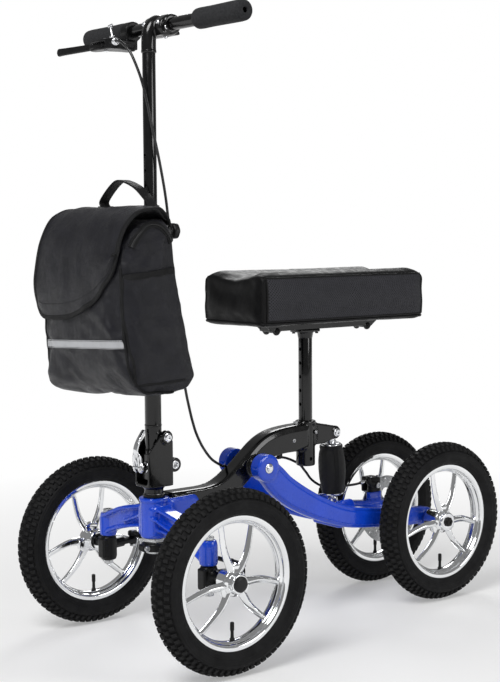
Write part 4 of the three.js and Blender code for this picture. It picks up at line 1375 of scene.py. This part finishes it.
def knee_pad():
    length = 40
    sections = []
    for i in range(length + 1):
        t = i / length
        x = PAD_LOW.x - 2 + (PAD_HIGH.x - PAD_LOW.x + 4) * t
        end = min(1, 20 * min(t, 1 - t))
        pinch = 4 * (1 - math.sin(end * math.pi / 2))
        high, w = 652.5 - pinch * 0.8, 90 - pinch
        dip = 12 + 1.5 * math.sin(math.pi * t)
        dish = [(w - 9, high - 2), (w - 20, high - 1), (50, high - 0.35 * dip), (26, high - 0.8 * dip),
                (0, high - dip),
                (-26, high - 0.8 * dip), (-50, high - 0.35 * dip), (-w + 20, high - 1), (-w + 9, high - 2)]
        outline = dish + [(-w, high - 9), (-w - 1, 605), (-w, 564), (-w + 5, 557.5), (w - 5, 557.5),
                          (w, 564), (w + 1, 605), (w, high - 9)]
        ring = rounded(outline, 5, 3)
        sections.append([Vector((x, y, z)) for y, z in ring])
    m = len(sections[0])
    verts = [p for ring in sections for p in ring]
    faces = [(i * m + k, i * m + (k + 1) % m, (i + 1) * m + (k + 1) % m, (i + 1) * m + k)
             for i in range(length) for k in range(m)]
    faces.append(tuple(range(m))[::-1])
    faces.append(tuple(range(length * m, (length + 1) * m)))

    def sculpt(p, normal):
        away = min(p.x - PAD_LOW.x, PAD_HIGH.x - p.x)
        near_end = math.exp(-(away / 40) ** 2)
        wave = noise.noise(Vector((p.x / 26, p.y / 34, p.z / 20 + 7)))
        drape = noise.noise(Vector((p.x / 70, p.y / 60, p.z / 60)))
        return 0.7 * drape + near_end * 1.3 * wave - 0.6 * near_end * math.exp(-((p.z - 612) / 16) ** 2)

    pad = soft_body("knee_cushion", (verts, faces), VINYL, 5.0, 3.0, sculpt=sculpt)
    settle(pad, "seat", "knee_pad")
    tree = skin_tree(pad)
    for side, name in ((1, "left"), (-1, "right")):
        rows = []
        for z in [566 + 76 * k / 14 for k in range(15)]:
            rows.append([touch(tree, (x, side * 140, z),
                               (x, 0, z)) for x in [-255 + 382 * k / 60 for k in range(61)]])
        trim(name + "_mesh_panel", sheet(rows, -0.5, 1.7), MESH, "seat")
        border = rows[0] + [row[-1] for row in rows[1:]]
        border += rows[-1][-2::-1] + [row[0] for row in rows[-2:0:-1]]
        trim(name + "_panel_piping", ribbon(border, 3.4, 3.0, 0.8, True), VINYL, "seat")
    welt = []
    for k in range(160):
        a = TAU * k / 160
        x = -64 + 196 * max(-1, min(1, 1.18 * math.cos(a)))
        y = 88 * max(-1, min(1, 1.7 * math.sin(a)))
        welt.append(touch(tree, (x * 1.0 + 260 * math.cos(a), y * 2.4, 561.5), (x * 0.96, y * 0.6, 561.5)))
    trim("cushion_lower_welt", ribbon(welt, 5, 4.4, 0.2, True), VINYL, "seat")
    for x, out, name in ((-263, -1, "rear"), (135, 1, "front")):
        seams = []
        for y in (-84, 84):
            line = [touch(tree, (x + out * 60, y, z), (x - out * 30, y * 0.97, z)) for z in range(566, 644,
                                                                                                  4)]
            seams.append(ribbon(line, 2.6, 2.2, 0.3))
        trim("cushion_" + name + "_seams", merge(*seams), VINYL, "seat")


def seat_knob():
    grip = lathe(rounded([(0, 0), (10, 0), (14, 2), (14.4, 10), (12, 13.6), (7, 14.4), (0, 14.4)], 1.1, 3,
                         False), 90,
                 wobble=lambda a: 1 - 0.045 * (1 + math.cos(6 * a)) / 2)
    shapes = merge(placed(grip, toward((SEAT_X, -44, 340), (0, 1, 0))),
                   crossbar((SEAT_X, 340), -31, -13.4, 4, 24))
    build("seat_clamp_knob", shapes, PLASTIC, "seat_knob", "seat_knob")


# ------------------------------------------------------------------ swing arm and rear axle
ARM_TOP = [(112, 322), (98, 318), (85, 310), (66, 294), (45, 275), (5, 249), (-36, 227), (-78, 209),
           (-120, 198),
           (-186, 188.5), (-250, 181), (-313, 174)]
ARM_LOW = [(-313, 144), (-250, 145), (-186, 151.5), (-120, 159), (-77, 168), (-15, 189.5), (46, 218),
           (85, 246), (112, 276)]


def swing_arm():
    top_line = side_curve(ARM_TOP, 60)
    low_line = side_curve(ARM_LOW, 60)
    heel = arc(-313, 159, 15, 90, 270, 12)[1:-1]
    outline = [(p.x, p.z) for p in top_line] + heel + [(p.x, p.z) for p in low_line]
    lug = [(-128, 180), (-88, 180)] + arc(-108, 195, 12.5, 0, 180, 14)
    foot = rounded([(-140, 168), (-72, 178), (-92, 214), (-122, 214)], 8, 3)
    beam = merge(
        slab(outline, 38, 55.6, 4.5, "xz", 3),
        slab(inset(outline, 6.5), 38, 57.6, 1.8),
        sweep([p + Vector((0, 47, -2)) for p in top_line[3:]], rectangle(20, 6, 2.4), up=(0, 0, 1)),
        crossbar(PIVOT, 36, 59, 25, 64, 1.6),
        crossbar(PIVOT, 57, 60, 21, 64, 1.2),
        crossbar(REAR_AXLE, 37.5, 58.6, 18, 48, 1.5),
        slab(foot, 33, 41, 2),
    )
    shapes = merge(
        both(beam),
        block((-130, -39, 160), (-86, 39, 184), 3, 6),
        both(slab(lug, 11.4, 16.2, 1.6)),
        both(crossbar((-108, 195), 11.4, 17.8, 9.5, 32, 1)),
        both(slab([(-120, 183), (-96, 183), (-100, 190), (-116, 190)], 15, 30, 2)),
        block((-284, -57, 165), (-246, -48, 197), 1.5, 4),
    )
    arm = fuse("swing_arm_casting", shapes, BLUE, "swing_arm", "swing_arm", 1.2, 8)
    sockets = both(crossbar(PIVOT, 57.6, 70, 9.4, 40, 0.2))
    carve(arm, sockets, BLUE)
    for side, name in ((1, "left"), (-1, "right")):
        line = [p + Vector((0, side * 57.4, 7.5)) for p in low_line[8:52]]
        crease = sweep(line, circle(0.9, 8), up=(0, 1, 0))
        build(name + "_arm_crease", crease, BLUE, "swing_arm", sharp=60)


def rear_axle():
    end = 111.3
    washer = lathe(rounded([(6, end), (18, end), (18, end + 1.4), (16, end + 2.6), (6, end + 2.6)], 0.4, 2),
                   64, closed=True)
    nut = slab(rounded(hexagon(9.4), 0.7, 2), end + 2.4, end + 7, 0.9)
    socket = lathe([(3, end + 6.6), (6.6, end + 6.6), (6.4, end + 8), (3.2, end + 8)], 32, closed=True)
    spacer = pipe((0, 58.4, 0), (0, 63.8, 0), 11, 6.4)
    metal = both(placed(merge(washer, spacer, crossbar((0, 0), 0, end + 1, 6, 40)), AT_REAR_AXLE))
    build("rear_axle_and_washers", metal, BRIGHT, "swing_arm", "rear_axle")
    nuts = both(placed(merge(nut, socket), AT_REAR_AXLE))
    build("rear_axle_nuts", nuts, SATIN, "swing_arm")


# ------------------------------------------------------------------ shock
def along_shock(t):
    return SHOCK_TOP + SHOCK_AXIS * t


def on_shock(profile, sides=64, closed=True, wobble=None):
    """A profile of (radius, distance from the upper eye), turned about the shock's line."""
    return placed(lathe(profile, sides, closed, wobble), toward(SHOCK_TOP, SHOCK_AXIS))


def shock():
    for place, body, name, node in ((SHOCK_TOP, "frame", "upper", "shock_upper_bolt"),
                                    (SHOCK_FOOT, "swing_arm", "lower", "shock_lower_bolt")):
        screw = hex_bolt((place.x, place.z), 17.8, 4, 6, 5, name == "upper")
        build(f"shock_{name}_screw", screw, BRIGHT, body, node)
    eye = lathe(rounded([(4.3, -11), (9.4, -11), (9.4, 11), (4.3, 11)], 0.8, 2), 48, closed=True)
    upper = merge(
        placed(eye, at(*SHOCK_TOP)),
        bar(along_shock(6), along_shock(25), 8, 40, 1),
        bar(along_shock(12), along_shock(15), 10.6, 40, 0.8),
        bar(along_shock(17), along_shock(20), 10.6, 40, 0.8),
        on_shock(rounded([(0, 22), (17, 22), (20, 24), (20, 28), (0, 28)], 0.8, 2, False), closed=False),
        bar(along_shock(27), along_shock(88), 11.5, 40, 1),
    )
    build("shock_upper_eye", upper, BRIGHT, "shock_upper", "shock_body")
    lower = merge(
        placed(lathe(rounded([(5.5, -10.5), (9.4, -10.5), (9.4, 10.5), (5.5, 10.5)], 0.8, 2), 48,
                     closed=True),
               at(*SHOCK_FOOT)),
        bar(along_shock(60), along_shock(138), 5, 32, 1),
        bar(along_shock(128), along_shock(138), 8, 32, 1),
        on_shock(rounded([(0, 117), (20, 117), (20, 121), (14, 124), (0, 124)], 0.8, 2, False), closed=False),
    )
    build("shock_shaft_and_seat", lower, BRIGHT, "shock_lower", "shock_shaft")
    turns, length = 5.5, 84
    across = SHOCK_AXIS.cross(Vector((0, 1, 0)))
    coil = []
    for k in range(240):
        a = TAU * turns * k / 239
        coil.append(along_shock(31.5 + length * k / 239 - 0.6) + Vector((0, 16.2, 0)) * math.cos(a)
                    + across * (16.2 * math.sin(a)))
    spring = build("shock_coil_spring", sweep(coil, circle(2.4, 12), up=tuple(SHOCK_AXIS)), ZINC,
                   "shock_upper",
                   "shock_spring")
    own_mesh(spring)
    outer = [(20.4, 25), (22, 26), (22.4, 30), (21.6, 33), (23.8, 40), (25.8, 55), (26.2, 72), (25.2, 90),
             (23, 105),
             (21.4, 115), (20.8, 119)]
    inner = [(19.6, 118.4), (20.8, 105), (22.6, 90), (23.6, 70), (22.9, 52), (20.6, 36), (20.2, 26)]
    sleeve = on_shock(rounded(outer + inner, 2, 2), 72,
                      wobble=lambda a: 1 + 0.012 * math.sin(3 * a) + 0.008 * math.sin(7 * a))
    cover = build("shock_neoprene_cover", sleeve, NEOPRENE, "shock_upper", "shock_cover", sharp=50)
    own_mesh(cover)
    facing = Vector((0.35, 0.94, 0)).normalized()
    seam_line = [(along_shock(t) + facing * r, facing)
                 for t, r in ((27, 22.2), (40, 24), (56, 26), (72, 26.4), (90, 25.4), (106, 23.2),
                              (117, 21.4))]
    seam = build("shock_cover_closure", ribbon(seam_line, 9, 1.4, 0.3), TAPE, "shock_upper",
                 sharp=50)
    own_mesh(seam)


# ------------------------------------------------------------------ rear brake
def rear_brake():
    rotor = build("brake_disc", placed(lathe(rounded([(11, -63.6), (68, -63.6), (68, -60.6), (11, -60.6)],
                                                     0.4, 2), 128,
                                             closed=True), AT_REAR_AXLE), ZINC, "right_rear_wheel",
                  "brake_rotor")
    holes = []
    for k in range(24):
        a, r = TAU * k / 24, (62, 56, 50)[k % 3]
        x, z = REAR_AXLE[0] + r * math.cos(a), REAR_AXLE[1] + r * math.sin(a)
        holes.append(crossbar((x, z), -66, -58, 2.6, 16, 0.1))
    for k in range(6):
        a = TAU * (k + 0.5) / 6
        x, z = REAR_AXLE[0] + 33 * math.cos(a), REAR_AXLE[1] + 33 * math.sin(a)
        holes.append(crossbar((x, z), -66, -58, 11, 32, 0.1))
    carve(rotor, merge(*holes), ZINC)
    carrier = [bar((REAR_AXLE[0] + 19 * math.cos(a), -64.8, REAR_AXLE[1] + 19 * math.sin(a)),
                   (REAR_AXLE[0] + 19 * math.cos(a), -59.4, REAR_AXLE[1] + 19 * math.sin(a)), 3, 20, 0.4)
               for a in [TAU * k / 6 for k in range(6)]]
    build("brake_disc_screws", merge(*carrier), SATIN, "right_rear_wheel")
    caliper = merge(
        block((-280, -76, 218), (-250, -46, 226.5), 2, 5),
        block((-280, -76, 196.4), (-250, -65.4, 224), 2, 5),
        block((-280, -58.8, 196.4), (-250, -46, 224), 2, 5),
        crossbar((-265, 211), -76, -79.5, 10, 40, 1.5),
        crossbar((-265, 211), -47, -45.8, 9, 40, 0.4),
    )
    fuse("brake_caliper_body", caliper, SATIN, "swing_arm", "caliper_body", 1.1, 4)
    screws = merge(crossbar((-265, 211), -47, -40, 3.5, 24), bolt_head((-265, -40.8, 211), (0, 1, 0), 5.6,
                                                                       3.2, True),
                   bolt_head((-275, -52, 226), (0, 0, 1), 3.4, 3, True),
                   bolt_head((-255, -52, 226), (0, 0, 1), 3.4, 3, True))
    build("caliper_screws", screws, ZINC, "swing_arm")
    strip = arc(-265, 211, 8, 90, 270, 14) + [(-246, 210), (-238, 217), (-235, 226), (-242, 231), (-250, 221)]
    arm = merge(slab(rounded(strip, 1, 1), -45.4, -41.2, 0.8), crossbar((-240, 225), -47.5, -39.5, 4, 24,
                                                                        0.6))
    build("caliper_cam_arm", arm, SATIN, "caliper_arm", "caliper_arm")


main_frame()
seat_support()
knee_pad()
seat_knob()
swing_arm()
rear_axle()
shock()
rear_brake()


# ------------------------------------------------------------------ bag
BAG_SIDE = [(314, 462), (350, 454), (408, 457), (428, 474), (446, 502), (457, 557), (461, 660), (452, 705),
            (430, 738),
            (398, 753), (361, 754), (349, 742), (342, 717), (330, 639), (311, 549), (297, 484)]
BAG_RIGHT, BAG_LEFT = -130, 119
BAG_MIDDLE = Vector((398, 0, 620))


def bag_ring(y, shrink):
    """The bag's outline at one place across its width. The middle stays clear of the stem."""
    clear = 1 - min(1, max(0, (abs(y) - 42) / 22))
    back = 300 + 33 * clear * clear * (3 - 2 * clear)
    ring = inset(rounded(BAG_SIDE, 9, 3), shrink)
    far = (BAG_LEFT - y) / (BAG_LEFT - BAG_RIGHT)
    out = []
    for x, z in ring:
        sag = far * max(0, min(1, (620 - z) / 160))
        corner = far * math.exp(-((x - 432) / 26) ** 2 - ((z - 478) / 26) ** 2)
        spread = 8 * far * max(0, min(1, (640 - z) / 120))
        out.append(Vector((max(x, back) + 12 * corner, y - spread, z - 10 * sag - 12 * corner)))
    return out


def loft(rings):
    m = len(rings[0])
    verts = [p for ring in rings for p in ring]
    faces = [(i * m + k, i * m + (k + 1) % m, (i + 1) * m + (k + 1) % m, (i + 1) * m + k)
             for i in range(len(rings) - 1) for k in range(m)]
    faces.append(tuple(range(m))[::-1])
    faces.append(tuple(range((len(rings) - 1) * m, len(rings) * m)))
    return verts, faces


def bag():
    edge = 6
    quarter = [math.radians(90 * k / 5) for k in range(6)]
    levels = [(3 + edge * (1 - math.sin(a)), BAG_RIGHT + 3 + edge * (1 - math.cos(a))) for a in quarter]
    levels += [(3, BAG_RIGHT + 3 + edge + 14 * k) for k in range(1, 17)]
    levels += [(3 + edge * (1 - math.sin(a)),
                BAG_LEFT - 3 - edge * (1 - math.cos(a))) for a in reversed(quarter)]
    rings = [bag_ring(y, shrink) for shrink, y in levels]

    def sculpt(p, normal):
        front = max(0, normal.x)
        side = abs(normal.y)
        drape = noise.noise(Vector((p.x / 50, p.y / 60, p.z / 46)))
        crumple = noise.noise(Vector((p.x / 22 + 5, p.y / 30, p.z / 18)))
        pulls = fold(p, (455, 60, 585), (0, 1, 0.5), 9, 50, -2.4) + fold(p, (452, -70, 520), (0, 1, -0.4), 8,
                                                                         45, -2.2)
        pulls += fold(p, (400, 118, 560), (1, 0, 0.9), 9, 55, -2.6) + fold(p, (380, 118, 505), (1, 0, -0.3),
                                                                           9, 45, -2.2)
        pulls += fold(p, (400, -124, 570), (1, 0, 0.8), 9, 55, -2.6)
        return 2.0 * drape + 1.5 * crumple * (0.4 + front + side) + pulls

    body = soft_body("bag_shell", loft(rings), NYLON, 5.0, 5.0, sculpt=sculpt)
    settle(body, "stem", "bag_body")
    tree = skin_tree(body)
    flap(tree)
    bag_trim(tree)


def flap_edge(y):
    """Height of the flap's lower front edge."""
    t = (y - BAG_RIGHT) / (BAG_LEFT - BAG_RIGHT)
    u = max(0, (t - 0.2) / 0.8)
    v = max(0, (0.12 - t) / 0.12)
    return 582 + 26 * (1 - math.sqrt(1 - v * v)) + 132 * (1 - math.sqrt(max(0, 1 - u * u)))


def flap(tree):
    """A lid draped over the bag's top and front, with a bound edge."""
    rows = []
    wide = BAG_LEFT - BAG_RIGHT
    for i in range(41):
        y = BAG_RIGHT + 2 + (wide - 6) * i / 40
        edge = min(1, 6 * min(i, 40 - i) / 40)
        row = []
        top = [(343, 744), (347, 754), (357, 761), (374, 765), (394, 765), (412, 761), (430, 751), (445, 733),
               (456, 710)]
        count = 16
        low = flap_edge(y)
        front = [(461 + 6 * math.sin(3 * k / count), 690 + (low - 690) * k / count) for k in range(count + 1)]
        line = curve([(x, 0, z) for x, z in top + front[::4]], 46)
        for p in line:
            back = max(0, min(1, (374 - p.x) / 24)) * (1 - edge)
            aim = Vector((p.x, y * (1 - 0.06 * back), p.z))
            inner = Vector((BAG_MIDDLE.x, y * 0.9, min(max(p.z, 560), 690)))
            out = (aim - inner).normalized()
            skin, _ = touch(tree, aim + out * 60, inner, 2.2)
            reach = max((aim - inner).dot(out) - 3 * (1 - edge) - 9 * back, (skin - inner).dot(out))
            spot = inner + out * reach
            ripple = 1.6 * noise.noise(Vector((spot.x / 40, y / 45, spot.z / 40 + 3)))
            ripple += 1.2 * noise.noise(Vector((spot.x / 18, y / 24 + 9, spot.z / 60)))
            spot += out * (ripple + 0.8)
            row.append((spot, out))
        rows.append(row)
    build("bag_lid", sheet(rows, 0, 2.6), NYLON, "bag_flap", "bag_flap", sharp=60)
    border = [row[0] for row in rows] + rows[-1][1:] + [row[-1] for row in rows[-2::-1]] + rows[0][-2:0:-1]
    trim("bag_lid_binding", ribbon(border, 8.5, 4.6, 1.2, True), TAPE, "bag_flap")
    inner_row = [row[-4] for row in rows[2:-2]]
    trim("bag_lid_stitches", stitches(inner_row, 4.6, 2.8, 2.8), THREAD, "bag_flap")
    handle = curve([(352, -80, 768), (353, -82, 780), (351, -51, 806), (350, -27, 813), (348, 11, 802),
                    (347, 40, 783),
                    (347, 57, 768)], 44)
    ups = []
    for i, p in enumerate(handle):
        along = handle[min(i + 1, 44)] - handle[max(i - 1, 0)]
        ups.append((p, Vector((1, 0, 0)).cross(along).normalized()))
    ends = merge(block((341, -90, 765), (363, -70, 770.5), 0.8, 3),
                 block((341, 48, 764.5), (363, 68, 770), 0.8, 3))
    trim("bag_carry_handle", merge(ribbon(ups, 20, 3.2, 0), ends), TAPE, "bag_flap")


def side_point(tree, x, z, side=1):
    return touch(tree, (x, side * 190, z), (x, side * 60, z))


def bag_trim(tree):
    def across(y, z):
        level = z - 0.05 * (BAG_LEFT - y)
        return touch(tree, (560, y, level), (395, y, level))

    rows = [[across(y, z) for y in range(-124, 115, 6)] for z in (539.5, 542, 546.5, 551, 553.5)]
    trim("bag_reflective_strip", sheet(rows, 0.2, 1.0), REFLECTIVE)
    for z in (540.8, 552.2):
        line = [across(y, z) for y in range(-124, 115, 2)]
        trim(f"bag_strip_stitches_{int(z)}", stitches(line, 4.4, 2.6, 1.4), THREAD)
    for side, name in ((1, "left"), (-1, "right")):
        band = [side_point(tree, x, 663 - 11 * (x - 346) / 106, side) for x in range(346, 450, 3)]
        trim(name + "_pocket_elastic", ribbon(band, 11, 2.8, 1.2), TAPE)
        rows = []
        for k in range(18):
            z = 478 + 176 * k / 17
            lean = (z - 478) / 176
            start, stop = 331 + 17 * lean, 424 + 24 * min(1, 1.6 * lean)
            row = []
            for j in range(17):
                point, out = side_point(tree, start + (stop - start) * j / 16, z + 4 * (1 - j / 16), side)
                inside = math.sin(math.pi * j / 16) * math.sin(math.pi * k / 17)
                row.append((point + out * inside * (2 + 2.6 * noise.noise(point / 26)), out))
            rows.append(row)
        trim(name + "_side_pocket", sheet(rows, 0.2, 1.8), NYLON)
        rim = rows[0] + [row[-1] for row in rows[1:]]
        trim(name + "_pocket_hem", ribbon(rim, 5, 2.6, 1.2), TAPE)
        front = [(457, 668), (456, 640), (454, 600), (452, 557), (442, 503), (426, 477), (408, 461),
                 (380, 456), (350, 456)]
        y = BAG_LEFT - 1 if side > 0 else BAG_RIGHT + 1
        piping = []
        for p in side_curve(front, 60):
            down = max(0, min(1, (500 - p.z) / 44))
            out = Vector((1 - down, side * 1.0, -down)).normalized()
            core = Vector((p.x - 22 * (1 - down), y - side * 22, p.z + 22 * down))
            piping.append(touch(tree, core + out * 90, core))
        trim(name + "_front_piping", ribbon(piping, 4.4, 4.0, 0.6), TAPE)
        zip_line = [side_point(tree, x, 738 - 0.02 * (x - 390) ** 2, side) for x in range(352, 436, 3)]
        trim(name + "_zip_tape", ribbon(zip_line, 12, 2.2, 0.4), TAPE)
        teeth = [(p + n * 1.4, n) for p, n in zip_line]
        trim(name + "_zip_teeth", ribbon(teeth, 3.4, 2, 0.4), PLASTIC, "stem")
    loops = []
    for z in (512, 684):
        around = arc(*STEM, 17.2, 55, 305, 30)
        around = [(336, 17.5)] + around + [(336, -17.5)]
        loops.append(ribbon([(Vector((x, y, z)), Vector((x - STEM_X, y, 0)).normalized())
                             for x, y in around], 24, 2.4))
    trim("bag_stem_straps", merge(*loops), TAPE)


# ------------------------------------------------------------------ brake cable
def cable(name, points, a, b, node=None):
    """One length of the cable between two of its points. With no body b it rides on body a; otherwise it is
    left unparented.
    """
    obj = build(name, sweep(curve(points, 70), circle(2.4, 14)), SHEATH, None, node, sharp=60)
    if b is None:
        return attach(obj, a)
    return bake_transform(obj)


def brake_cable():
    cable("brake_cable_down_mast", [(344.5, -50, 1052), (348, -30, 1047), (345, -10, 1030), (340, 4, 1002),
                                    (336, 13, 976),
                                    (330, 19, 941), (322, 21, 900), (313, 21, 865), (304, 20, 829),
                                    (296, 19.5, 790),
                                    (292, 21, 754), (292, 29, 700), (292, 35, 650), (290, 37.5, 600)],
          "handlebar", "stem", "brake_cable_upper")
    cable("brake_cable_behind_bag", [(290, 37.5, 600), (284, 39, 540), (277, 40, 480), (270, 39.5, 445),
                                     (262, 37.5, 418)],
          "stem", "steering_column")
    cable("brake_cable_past_fold", [(262, 37.5, 418), (255, 35.5, 398), (243, 31, 373), (223, 23, 346),
                                    (198, 14, 322),
                                    (171, 4, 307), (154, -8, 301), (143, -18, 300), (132, -22.5, 291)],
          "steering_column", "frame")
    cable("brake_cable_along_frame", [(132, -22.5, 291), (117, -22.5, 276), (100, -22.5, 270),
                                      (60, -22.5, 289),
                                      (10, -22.5, 300), (-36, -23, 284), (-58, -24, 264)],
          "frame", None, "brake_cable_rear")
    cable("brake_cable_to_caliper", [(-58, -24, 264), (-78, -30, 246), (-105, -34, 231), (-140, -37, 224),
                                     (-175, -40, 221),
                                     (-205, -42.5, 220), (-222, -43.6, 221)],
          "frame", "swing_arm")
    stop = merge(bar((-219, -43.4, 220.6), (-229, -43.9, 222.4), 3.6, 24, 0.8),
                 bar((-227, -43.8, 222), (-241, -43.6, 225.4), 0.9, 12, 0.2))
    build("cable_end_cap_and_wire", stop, BRIGHT, "swing_arm")
    clips = []
    for x, z in ((60, 289), (10, 300)):
        clips.append(bar((x - 4, -22.5, z), (x + 4, -22.5, z), 3.6, 24, 0.8))
        clips.append(block((x - 4, -24.6, z), (x + 4, -17, z + 10), 0.8, 1.2))
        clips.append(bolt_head((x, -24.4, z + 7), (0, -1, 0), 2.8, 1.8, True))
    build("cable_clips", merge(*clips), PLASTIC, "frame")


bag()
brake_cable()


# ------------------------------------------------------------------ studio, camera and close
def studio_stage():
    """White to the camera, softer to the object, with a floor that melts into the background."""
    scene = bpy.context.scene
    scene.view_settings.view_transform = "Standard"
    world = bpy.data.worlds.new("studio")
    scene.world = world
    world.use_nodes = True
    nodes, links = world.node_tree.nodes, world.node_tree.links
    background = nodes["Background"]
    background.inputs["Color"].default_value = (1, 1, 1, 1)
    path = nodes.new("ShaderNodeLightPath")
    strength = nodes.new("ShaderNodeMapRange")
    strength.inputs["To Min"].default_value = 0.24
    strength.inputs["To Max"].default_value = 1.0
    links.new(path.outputs["Is Camera Ray"], strength.inputs["Value"])
    links.new(strength.outputs[0], background.inputs["Strength"])
    bpy.ops.mesh.primitive_plane_add(size=60)
    floor = bpy.context.object
    floor.name = "studio_floor"
    floor.data.materials.append(studio_floor())
    softbox("key", (2.2, 0.9, 3.0), (0, 0, 0.45), 1.7, 88)
    softbox("fill", (-1.2, 3.4, 1.6), (0, 0, 0.45), 1.6, 36)
    softbox("rim", (-2.2, -2.4, 2.6), (0, 0, 0.5), 1.6, 42)


def softbox(name, place, target, size, power):
    lamp = bpy.data.lights.new(name, "AREA")
    lamp.shape = "DISK"
    lamp.size = size
    lamp.energy = power
    obj = bpy.data.objects.new(name, lamp)
    bpy.context.scene.collection.objects.link(obj)
    obj.location = place
    obj.rotation_euler = (Vector(target) - Vector(place)).to_track_quat("-Z", "Y").to_euler()


def camera():
    place = Vector((1.7033, 2.0013, 0.7325))
    ahead = Vector((-0.62402, -0.77728, -0.08021)).normalized()
    roll = math.radians(-0.37)
    right = ahead.cross(Vector((0, 0, 1))).normalized()
    up = right.cross(ahead)
    level_right = right * math.cos(roll) + up * math.sin(roll)
    level_up = up * math.cos(roll) - right * math.sin(roll)
    data = bpy.data.cameras.new("camera")
    data.sensor_width = 36
    data.lens = 74.6
    obj = bpy.data.objects.new("camera", data)
    bpy.context.scene.collection.objects.link(obj)
    turn = Matrix((level_right, level_up, -ahead)).transposed()
    obj.matrix_world = Matrix.Translation(place) @ turn.to_4x4()
    bpy.context.scene.camera = obj


studio_stage()
camera()
